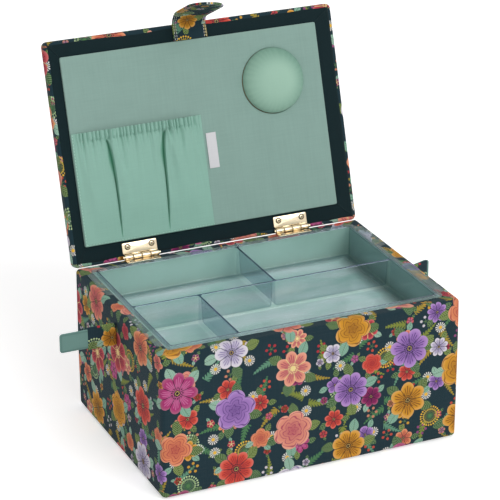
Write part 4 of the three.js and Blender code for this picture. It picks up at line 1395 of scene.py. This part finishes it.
# Painted shade in the slits between the ruffles, and in the creases.
slit_shade = 0.55 * slits * smooth_step(side_gap / (12 * mm))
pocket = make_piece(
    "gathered_pocket",
    [patch(
        on_lid(pocket_x, pocket_up, panel_face + pocket_out),
        stacked(pocket_x * fullness, pocket_up), pocket_seam,
        shade=np.maximum(crease_shade * kept, slit_shade),
    )],
    pocket_cloth, "lid", ["pocket"], sheet=pocket_cloth_thickness,
)
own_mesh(pocket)

# %% [markdown]
# Small flat pieces, such as the woven label and the hinge leaves, are plates with round corners
# and slightly round edges. One formula makes them all: an outline that steps inwards at the edge.

# %% Rounded plates
def plate_patch(place, middle, half, levels, corner, edge):
    """A closed plate between two levels. place carries its own three directions into the frame."""
    low, high = levels
    side_in, face_in = rounding(edge, 4)
    size, inset, level = section_rows(
        ([0], edge, low),
        (1, side_in, low + face_in),
        (1, side_in[::-1], high - face_in[::-1]),
        ([0], edge, high),
    )
    tightest = max(corner - edge, 0.05 * mm)
    x, y = Outline(10, 6, 5).points(half[0] - inset, half[1] - inset, tightest)
    x = x * size + middle[0]
    y = y * size + middle[1]
    return patch(place(x, y, level), stacked(x, y), closed=True)


label_low, label_high = lid_box("pocket_label")
label_corner = 0.3 * mm
label_edge = 0.15 * mm
make_piece(
    "woven_label", [plate_patch(
        on_lid, (label_low + label_high)[:2] / 2, (label_high - label_low)[:2] / 2,
        (label_low[2], label_high[2]), label_corner, label_edge,
    )], label_cloth, "lid", ["pocket_label"],
)

# %% [markdown]
# Each hinge is two leaves rolled round a pin: the knuckles alternate, and a dark line shows where
# one ends and the next begins. A knuckle is a circle carried along the pin with its ends rounded.

# %% Hinges
knuckle_radius = 2.4 * mm
knuckle_edge = 0.5 * mm
knuckle_gap = 0.2 * mm
knuckle_count = 4
roll_overhang = 0.15 * mm
leaf_edge = 0.22 * mm
leaf_corner = 1.3 * mm
leaf_half_length = 15.5 * mm
leaf_start = knuckle_radius + 0.3 * mm
lid_leaf_back = -2.74 * mm
lid_leaf_face = -1.72 * mm
base_leaf_thickness = 1 * mm
tongue_half = 1.8 * mm
tongue_sink = 0.02 * mm
tongue_corner = 0.1 * mm
tongue_edge = 0.05 * mm


def knuckle_patch(start, end, axis_y, axis_z):
    """A closed roll round a line along X, from the pole at one end to the pole at the other."""
    side_in, face_in = rounding(knuckle_edge, 4)
    x, radius = section_rows(
        ([start], 0),
        (start + face_in, knuckle_radius - side_in),
        (end - face_in[::-1], knuckle_radius - side_in[::-1]),
        ([end], 0),
    )
    turn = np.linspace(0, full_turn, 33)
    y = axis_y - radius * np.cos(turn)
    z = axis_z + radius * np.sin(turn)
    return patch(stacked(x, y, z), stacked(x, turn * knuckle_radius), closed=True)


for name in ("left", "right"):
    _, leaf_high = lid_box(f"{name}_hinge_lid_leaf")
    low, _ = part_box(f"{name}_hinge_base_leaf")
    hinge_start = low.x - roll_overhang
    hinge_end = leaf_high[0]
    pitch = (hinge_end + roll_overhang - hinge_start) / knuckle_count
    middle_x = (hinge_start + hinge_end) / 2
    reach_up = (leaf_high[1] - leaf_start) / 2
    reach_back = (hinge[1] - leaf_start - low.y) / 2
    lid_parts = [plate_patch(
        on_lid, (middle_x, leaf_start + reach_up), (leaf_half_length, reach_up),
        (lid_leaf_back, lid_leaf_face), leaf_corner, leaf_edge,
    )]
    base_parts = [plate_patch(
        stacked, (middle_x, low.y + reach_back), (leaf_half_length, reach_back),
        (low.z, low.z + base_leaf_thickness), leaf_corner, leaf_edge,
    )]
    for index in range(knuckle_count):
        start = hinge_start + index * pitch + knuckle_gap
        end = start + pitch - 2 * knuckle_gap
        centre = (start + end) / 2
        half = ((end - start) / 2, tongue_half)
        if index % 2:
            parts, place, middle = lid_parts, on_lid, (centre, tongue_half)
            levels = (lid_leaf_back + tongue_sink, lid_leaf_face - tongue_sink)
        else:
            parts, place, middle = base_parts, stacked, (centre, hinge[1] - tongue_half)
            levels = (low.z, low.z + base_leaf_thickness - tongue_sink)
        parts.append(knuckle_patch(start, end, hinge[1], hinge[2]))
        parts.append(plate_patch(place, middle, half, levels, tongue_corner, tongue_edge))
    make_piece(f"{name}_lid_leaf", lid_parts, brass, "lid", [f"{name}_hinge_lid_leaf"])
    make_piece(f"{name}_base_leaf", base_parts, brass, "base", [f"{name}_hinge_base_leaf"])

# %% [markdown]
# The screw heads are shallow domes with a cross driven into them. The cross is part of the same
# grid: the surface is lowered wherever a point lies close to one of two lines through the middle.

# %% Screw heads
head_radius = 1.95 * mm
ring_radius = 2.6 * mm
ring_height = 0.04 * mm
head_height = 0.75 * mm
cross_reach = 1.25 * mm
cross_half_width = 0.28 * mm
cross_depth = 0.5 * mm
screw_sharpness = np.radians(30)


def screw_patch(place, middle, face, turn):
    """A closed head: its underside, the ring of its sunk hole, its rim and dome, with the cross sunk
    into the dome. Painted shade darkens the ring and the cross."""
    rows = np.linspace(0, 1, 16)[:-1]
    radius, dome = section_rows(
        ([0, ring_radius, ring_radius], [0, 0, ring_height]),
        (head_radius * np.sqrt(1 - rows ** 2), ring_height + head_height * rows ** 0.7),
        ([0], head_height),
    )
    around = np.linspace(0, full_turn, 65)
    x = radius * np.cos(around)
    y = radius * np.sin(around)
    own_x = x * np.cos(turn) + y * np.sin(turn)
    own_y = y * np.cos(turn) - x * np.sin(turn)
    off = np.minimum(np.abs(own_x), np.abs(own_y))
    shaded_hollow = smooth_step((cross_half_width * 1.5 - off) / (cross_half_width * 0.6))
    shaded_hollow = shaded_hollow * smooth_step((cross_reach - radius) / (0.3 * mm))
    level = dome - cross_depth * shaded_hollow * (dome > head_height * 0.3)
    # Painted shade: the ring of the sunk hole and the cross are darker.
    groove_shade = np.clip((radius - head_radius * 0.93) / (head_radius * 0.05), 0, 1) + 0.9 * shaded_hollow
    points = place(x + middle[0], y + middle[1], face + level)
    return patch(points, closed=True, shade=np.clip(groove_shade, 0, 1))


turns = np.random.default_rng(2).uniform(0, np.pi, 8)
for number in range(1, 5):
    low, high = lid_box(f"lid_leaf_screw_{number}")
    make_piece(
        f"lid_screw_{number}",
        [screw_patch(on_lid, (low + high)[:2] / 2, lid_leaf_face, turns[number])],
        screw_brass, "lid", [f"lid_leaf_screw_{number}"], sharp=screw_sharpness,
    )
    low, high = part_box(f"base_leaf_screw_{number}")
    make_piece(
        f"base_screw_{number}",
        [screw_patch(stacked, ((low + high) / 2)[:2], high.z - head_height, turns[number - 1])],
        screw_brass, "base", [f"base_leaf_screw_{number}"], sharp=screw_sharpness,
    )

# %% [markdown]
# The tab that closes the box, and the pulls at its sides, are stiff ribbons: cloth folded over a
# core and sewn near the edge. A ribbon is a surface given across and along, made thick by moving
# its two faces apart along the surface's own normal, with round edges in between.

# %% Ribbons
def ribbon_patch(centre, ways, half, thickness, edge_map):
    """A closed ribbon. centre(across, along) is its middle surface, and ways are the rows' places
    along it. half and thickness are given for each row. edge_map(across, along) is its seam map."""
    outline = Outline(24, 0, 7)
    along = column(ways)
    bend = column(thickness) / 2
    across = outline.ex * (column(half) - bend) + bend * np.cos(outline.angle)
    offset = bend * np.sin(outline.angle)
    step = 0.05 * mm
    points = centre(across, along)
    over = centre(across + step, along) - centre(across - step, along)
    forward = centre(across, along + step) - centre(across, along - step)
    normal = np.cross(over, forward)
    normal = normal / np.maximum(np.linalg.norm(normal, axis=-1, keepdims=True), 1e-12)
    points = points + normal * offset[..., None]
    return patch(points, stacked(across, along), edge_map(across, along), closed=True)


def rounded_ends(ways, thickness):
    """A thickness for each row that closes to nothing at the ends, as the edge of a half circle."""
    result = np.full(len(ways), thickness)
    for away in (ways - ways[0], ways[-1] - ways):
        result = result * np.sqrt(1 - (1 - np.clip(away / (thickness / 2), 0, 1)) ** 2)
    return result


def dense_ends(start, end, steps, finest):
    """Places from start to end that crowd towards both ends, in a cosine's spacing."""
    turn = np.linspace(0, np.pi, steps + 1)
    spread = (1 - np.cos(turn)) / 2
    return start + (end - start) * (spread * (1 - finest) + np.linspace(0, 1, steps + 1) * finest)

# %% [markdown]
# The closure tab leaves the lid's edge and folds forwards. It is one ribbon from its root on the
# lid to its round tip: flat on the lid, folded, carried a short way round a cylinder whose axis
# lies across it at a slant, and flat again. Averaging over a short way along it eases the fold.

# %% The tab's bent surface
root_low, root_high = lid_box("tab_root")
tab_joint = np.array(joints["tab_fold"]["pos_m"]) - hinge
tab_up = tab_joint @ lid_up
tab_out = tab_joint @ lid_out
tab_half = (root_high[0] - root_low[0]) / 2
tab_length = 63.04 * mm
tab_thickness = 1.9 * mm
tab_tip = 0.9 * mm
bend_radius = 11 * mm
bend_angle = np.radians(36)
bend_slant = np.radians(104)
fold_angle = np.radians(47)
fold_ease = 3.5 * mm


def tab_sharp(across, along):
    """The tab's middle surface with a sharp fold, as across, up and out on the lid."""
    axis = (np.sin(bend_slant), np.cos(bend_slant))
    away = (-np.cos(bend_slant), np.sin(bend_slant))
    flap = np.maximum(along, 0)
    on_axis = across * axis[0] + flap * axis[1]
    start = tab_half * abs(np.cos(bend_slant))
    beyond = across * away[0] + flap * away[1] - start
    turn = np.clip(beyond / bend_radius, 0, bend_angle)
    before = np.minimum(beyond, 0)
    after = np.maximum(beyond - bend_radius * bend_angle, 0)
    reach = start + before + bend_radius * np.sin(turn) + after * np.cos(turn)
    down = bend_radius * (1 - np.cos(turn)) + after * np.sin(turn)
    x = tab_joint[0] + on_axis * axis[0] + reach * away[0]
    y = on_axis * axis[1] + reach * away[1]
    up = y * np.cos(fold_angle) - down * np.sin(fold_angle) + np.minimum(along, 0)
    out = y * np.sin(fold_angle) + down * np.cos(fold_angle)
    return stacked(x, tab_up + up, tab_out + out)


def tab_surface(across, along):
    """The same surface with the fold eased, in the box's frame."""
    shifts = np.linspace(-fold_ease, fold_ease, 13)
    own = sum(tab_sharp(across, along + shift) for shift in shifts) / len(shifts)
    return on_lid(own[..., 0], own[..., 1], own[..., 2])


def tab_half_width(along):
    """Half the tab's width, which follows a half circle at the tip."""
    into = np.maximum(along - (tab_length - tab_half), 0)
    return np.sqrt(np.maximum(tab_half ** 2 - into ** 2, tab_tip ** 2))


def tab_edges(across, along):
    """The way along the tab's edge and the distance in from it, round the tip too."""
    straight = tab_length - tab_half
    into = np.maximum(along - straight, 0)
    side = np.abs(across)
    way = np.minimum(along, straight) + tab_half * np.arctan2(into, side + 1e-6)
    return stacked(way, tab_half - np.where(into > 0, np.hypot(across, into), side))


print("tab", round(tab_length / mm, 1), "mm long")

# %% [markdown]
# The tab is one piece from its root on the lid to its round tip. The rows crowd where the ends
# are round.

# %% Closure tab
tab_start = root_low[1] - tab_up
tip_turn = np.linspace(0, np.pi / 2, 40)[1:]
tab_ways = np.concatenate([
    tab_start + np.linspace(0, 1, 6) ** 2 * 1.5 * mm,
    np.linspace(tab_start + 3 * mm, tab_length - tab_half, 48),
    (tab_length - tab_half) + tab_half * np.sin(tip_turn),
])
tab = make_piece(
    "sewn_closure_tab", [ribbon_patch(
        tab_surface, tab_ways, tab_half_width(tab_ways), rounded_ends(tab_ways, tab_thickness),
        tab_edges,
    )], tab_print, None,
    ["tab_root", "closure_tab_core", "closure_tab_face", "closure_tab_back"],
)
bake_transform(tab)

# %% [markdown]
# A pull is a printed cuff sewn to the wall with a strap of coarse ribbon in its end. The left strap
# points straight out. The right one is folded back behind its cuff.

# %% How a pull stands
cuff_half = 9.75 * mm
strap_half = 8.2 * mm


def pull_surface(pivot, turn, way_points):
    """A ribbon that stands on edge: its width is upright, and its way is a path seen from above."""
    way = travelled(way_points)
    last_x = np.sign(way_points[-1, 0] - way_points[-2, 0])

    def surface(across, along):
        """The path at the way along, turned about the pivot, and the way across upright."""
        own_x = np.interp(along, way, way_points[:, 0])
        own_y = np.interp(along, way, way_points[:, 1])
        own_x = own_x + np.minimum(along, 0) + np.maximum(along - way[-1], 0) * last_x
        x = pivot[0] + own_x * np.cos(turn) - own_y * np.sin(turn)
        y = pivot[1] + own_x * np.sin(turn) + own_y * np.cos(turn)
        return stacked(x, y, pivot[2] + across)

    return surface


def cuff_edges(across, along):
    """The seam map of a cuff, which counts from its long sides."""
    return stacked(along, cuff_half - np.abs(across))


def strap_edges(length):
    """The seam map of a strap with a square end: the nearer of its side and its end counts."""
    def edges(across, along):
        """The way along the nearer edge, and the distance in from it."""
        side = strap_half - np.abs(across)
        end = length - along
        return stacked(np.where(side < end, along, across), np.minimum(side, end))
    return edges


print("pulls are", round(2 * cuff_half / mm, 1), "mm wide")

# %% [markdown]
# The cuff is thick where its end is rolled into the seam and flat further out. The strap comes out
# of it. Both turn with the pull's own joint.

# %% Side pulls
cuff_length = 22 * mm
cuff_thickness = 2.6 * mm
cuff_roll = 4.8 * mm
cuff_roll_fade = 2.6 * mm
cuff_round = 1 * mm
strap_thickness = 1.4 * mm
strap_corner = 2.5 * mm
strap_start = 13 * mm
strap_end = 45.5 * mm
turn_back = 23.2 * mm
turn_radius = 1.9 * mm
folded_end = 3.2 * mm

strap_ways = {
    "left": line((strap_start, 0), (strap_end, 0), 40),
    "right": path(
        line((strap_start, 0), (turn_back, 0), 10),
        arc((turn_back, turn_radius), turn_radius, -90, 90, 14),
        line((turn_back, 2 * turn_radius), (folded_end, 2 * turn_radius), 20),
    ),
}
pull_turns = {"left": np.pi, "right": np.radians(20)}
cuff_way = line((0, 0), (cuff_length, 0), 2)
cuff_rows = dense_ends(-cuff_roll / 2, cuff_length, 44, 0.5)
swell = (cuff_roll - cuff_thickness) * np.exp(-(np.maximum(cuff_rows, 0) / cuff_roll_fade) ** 2)
closing = rounded_ends(cuff_rows, cuff_round) / cuff_round
roll = np.sqrt(np.clip(1 - (np.minimum(cuff_rows, 0) / (cuff_roll / 2)) ** 2, 0, 1))
cuff_thick = (cuff_thickness + swell) * np.minimum(closing, roll)
for name, strap_way in strap_ways.items():
    pivot = np.array(joints[f"{name}_pull_swing"]["pos_m"])
    make_piece(f"{name}_printed_cuff", [ribbon_patch(
        pull_surface(pivot, pull_turns[name], cuff_way), cuff_rows,
        np.full(len(cuff_rows), cuff_half), cuff_thick, cuff_edges,
    )], print_cloth, f"{name}_pull", [f"{name}_pull_cuff"])
    strap_length = travelled(strap_way)[-1]
    strap_rows = dense_ends(0, strap_length, 80, 0.6)
    into = np.maximum(strap_rows - (strap_length - strap_corner), 0)
    narrowed = strap_half - strap_corner + np.sqrt(np.maximum(strap_corner ** 2 - into ** 2, 0))
    make_piece(f"{name}_ribbon_strap", [ribbon_patch(
        pull_surface(pivot, pull_turns[name], strap_way), strap_rows, narrowed,
        rounded_ends(strap_rows, strap_thickness), strap_edges(strap_length),
    )], strap_cloth, f"{name}_pull", [f"{name}_pull_strap"])

# %% [markdown]
# The tray is moulded in one piece, so it is drawn as one skin round the plastic. It starts with a
# cup for each compartment. The walls lean a little, so that the tray leaves its mould, and the
# corners are round. The last rows of the grid close the floor on its middle.

# %% Compartments of the tray
tray_half_x = 116.4 * mm
tray_half_y = 79.9 * mm
tray_wall = 1.2 * mm
tray_draft = 0.9 * mm
cup_corner = 2.6 * mm
cup_fillet = 1.4 * mm
mouth_inset = 0.1 * mm
mouth_depth = 0.25 * mm
cup_top = rim_z + 0.2 * mm
cup_floor = rim_z - 23.8 * mm
split_y = 1.5 * mm
back_split = 10 * mm
front_split = -58 * mm


def cup_patch(x0, x1, y0, y1):
    """One compartment: a square mouth, round corners, drafted walls, a fillet and a flat floor."""
    wall = np.linspace(0, 1, 8)
    depth = cup_top - cup_floor - cup_fillet - mouth_depth
    side_in, face_in = rounding(cup_fillet, 8)
    # The last value is the edge tint and painted shade, on the mouth's rim.
    inset, level, closing, edge_tint_and_shade = section_rows(
        ([mouth_inset], cup_top, 0, 1),
        (mouth_depth + wall * tray_draft, cup_top - mouth_depth - wall * depth, 0, 0),
        (mouth_depth + tray_draft + face_in[1:], cup_floor + side_in[1:], 0, 0),
        (tray_draft + cup_fillet, cup_floor, np.linspace(0, 1, 7)[1:], 0),
    )
    x, y = Outline(24, 24, 8).points(
        (x1 - x0) / 2 - inset, (y1 - y0) / 2 - inset,
        np.maximum(cup_corner - inset * 0.3, 0.1 * mm),
    )
    x = x * (1 - closing) + (x0 + x1) / 2
    y = y * (1 - closing) + (y0 + y1) / 2
    seam = stacked(edge_tint_and_shade + 0 * x, 0)
    return patch(stacked(x, y, level)[::-1], seam=seam[::-1], closed=True)


inner_x = tray_half_x - tray_wall
inner_y = tray_half_y - tray_wall
half_wall = tray_wall / 2
cups = []
for split_x, y0, y1 in (
    (back_split, split_y + half_wall, inner_y), (front_split, -inner_y, split_y - half_wall),
):
    cups.append(cup_patch(-inner_x, split_x - half_wall, y0, y1))
    cups.append(cup_patch(split_x + half_wall, inner_x, y0, y1))
print("compartments", len(cups))

# %% [markdown]
# Round the compartments runs the rim. It rises to a bead, spreads to a flange with wider ears,
# turns under, and goes on down the outside and under the floor. The flat tops of the dividers lie
# between the open mouths of the cups and the rim, and one fill of triangles closes them.

# %% Clear tray
tray_corner = 3 * mm
tray_foot = rim_z - 25 * mm
foot_bend = 1.6 * mm
bead_top = rim_z + 1.4 * mm
bead_radius = 1 * mm
bead_reach = 0.8 * mm
flange_top = rim_z + 0.9 * mm
front_reach = 3 * mm
narrow_reach = 3.8 * mm
wide_reach = 9.2 * mm
ear_ease = 1.5 * mm
corner_ease = 6 * mm
# Painted light: the floor's haze is pale, with two pale bands across it, and the flange's haze stands in partly
# for its reflection.
floor_haze_and_light = 0.94
painted_light_band = 0.25
band_width = 7 * mm
flange_haze_and_light = 0.16


def ear_reach(y):
    """How far the flange reaches past the tray's wall at a place along its side."""
    def step(at):
        """Rises from 0 to 1 at a share of the side."""
        return smooth_step((y / tray_half_y - at) / (ear_ease / tray_half_y) + 0.5)
    ears = step(-0.94) - step(-0.145) + step(0.38) - step(0.94)
    return narrow_reach + (wide_reach - narrow_reach) * ears


def beyond(place, half):
    """Rises from 0 to 1 over the last few millimetres before a side, with the side's sign."""
    return smooth_step((np.abs(place) - (half - corner_ease)) / corner_ease) * np.sign(place)


bead = path(
    line((-tray_wall, cup_top), (-tray_wall, bead_top - bead_radius), 2),
    arc((bead_radius - tray_wall, bead_top - bead_radius), bead_radius, 180, 30, 10),
)
outwards = np.linspace(0, 1, 7)[1:]
edge_turn = np.linspace(0, np.pi, 6)[1:-1]
edge_bend = (flange_top - rim_z) / 2
foot_side_in, foot_face_in = rounding(foot_bend, 5)
# Each part: how far past the wall, the height, the share of the flange, the share to the middle.
rim_reach, rim_level, spread, closing = section_rows(
    (bead[:, 0], bead[:, 1], 0, 0),
    (bead_reach, flange_top, outwards, 0),
    (bead_reach + edge_bend * np.sin(edge_turn),
     flange_top - edge_bend * (1 - np.cos(edge_turn)), 1, 0),
    (bead_reach, rim_z, outwards[::-1], 0),
    (0, [rim_z, rim_z - 1 * mm], 0, 0),
    (-foot_face_in - tray_draft, tray_foot + foot_side_in, 0, 0),
    (-foot_bend - tray_draft, tray_foot, 0, np.linspace(0, 1, 8)[1:]),
)
rim_x, rim_y = Outline(120, 120, 6).points(
    tray_half_x + rim_reach, tray_half_y + rim_reach,
    np.maximum(tray_corner + rim_reach, 0.4 * mm),
)
sideways = spread * beyond(rim_x, tray_half_x)
lengthways = spread * beyond(rim_y, tray_half_y)
rim_x = (rim_x + sideways * (ear_reach(rim_y) - bead_reach)) * (1 - closing)
rim_y = (rim_y + lengthways * (front_reach - bead_reach)) * (1 - closing)
on_bead = (rim_level > flange_top + 0.1 * mm) & (spread == 0)
# Painted shade tints the bead and the flange's edge.
rim_tint_and_shade = 0.5 * on_bead + 0.25 * (spread > 0.9)
# Painted light: haze on the floor and the flange, and two pale bands across the floor.
rim_haze_and_light = (closing > 0) * floor_haze_and_light + (spread > 0) * flange_haze_and_light
for band in (inner_y - 9 * mm, split_y - 9 * mm):
    rim_haze_and_light = rim_haze_and_light + (closing > 0) * painted_light_band * np.exp(-((rim_y - band) / band_width) ** 2)
rim = patch(stacked(rim_x, rim_y, rim_level), seam=stacked(rim_tint_and_shade, rim_haze_and_light), closed=True)
make_piece(
    "clear_tray", [*cups, rim], tray_plastic, "base", ["tray"], filled=True,
)

# %% [markdown]
# The set is a plain pale floor that takes the box's soft shadow. It glows a little for the camera
# alone, so that it fades into the white behind it without throwing light on the box.

# %% Floor
floor_colour = "f9f9f9"
floor_size = 8
floor_drop = 0.2 * mm
floor_glow = 0.42
white = (1, 1, 1, 1)

bpy.ops.mesh.primitive_plane_add(size=floor_size, location=(0, 0, -floor_drop))
floor = bpy.context.object
floor.name = "floor"
floor_material, floor_tree, floor_shader = new_material("floor")
adjust(
    floor_shader, Base_Color=linear(floor_colour), Roughness=1.0, Specular_IOR_Level=0.0,
    Emission_Color=white,
)
floor_rays = node_of(floor_tree, "ShaderNodeLightPath")
glow = Signal(floor_tree, floor_rays.outputs["Is Camera Ray"]) * floor_glow
floor_tree.links.new(glow.socket, floor_shader.inputs["Emission Strength"])
floor.data.materials.append(floor_material)
print("floor", floor_size, "m wide")

# %% [markdown]
# The world lights the set evenly, and a wide soft sun gives the forms a side. Rays from the camera,
# and rays that mirror or pass through, meet plain white instead of the dimmed dome.

# %% Light
dome_strength = 0.62
sun_strength = 1.35
sun_angle = np.radians(40)
sun_from = Vector((0.3, -1.0, 0.7))

sun_data = bpy.data.lights.new("sun", "SUN")
sun_data.energy = sun_strength
sun_data.angle = sun_angle
sun = bpy.data.objects.new("sun", sun_data)
bpy.context.scene.collection.objects.link(sun)
sun.rotation_euler = sun_from.to_track_quat("Z", "Y").to_euler()

world = bpy.data.worlds.new("studio")
bpy.context.scene.world = world
world.use_nodes = True
tree = world.node_tree
tree.nodes.clear()
light_path = node_of(tree, "ShaderNodeLightPath")
seen = Signal(tree, light_path.outputs["Is Camera Ray"])
for ray in ("Is Glossy Ray", "Is Transmission Ray"):
    seen = seen.math("MAXIMUM", Signal(tree, light_path.outputs[ray]))
dome = node_of(tree, "ShaderNodeBackground", Color=white, Strength=dome_strength)
backdrop = node_of(tree, "ShaderNodeBackground", Color=white, Strength=1.0)
either = node_of(tree, "ShaderNodeMixShader")
world_output = node_of(tree, "ShaderNodeOutputWorld")
tree.links.new(seen.socket, either.inputs[0])
tree.links.new(dome.outputs[0], either.inputs[1])
tree.links.new(backdrop.outputs[0], either.inputs[2])
tree.links.new(either.outputs[0], world_output.inputs["Surface"])
print("sun", sun_strength, "and dome", dome_strength)
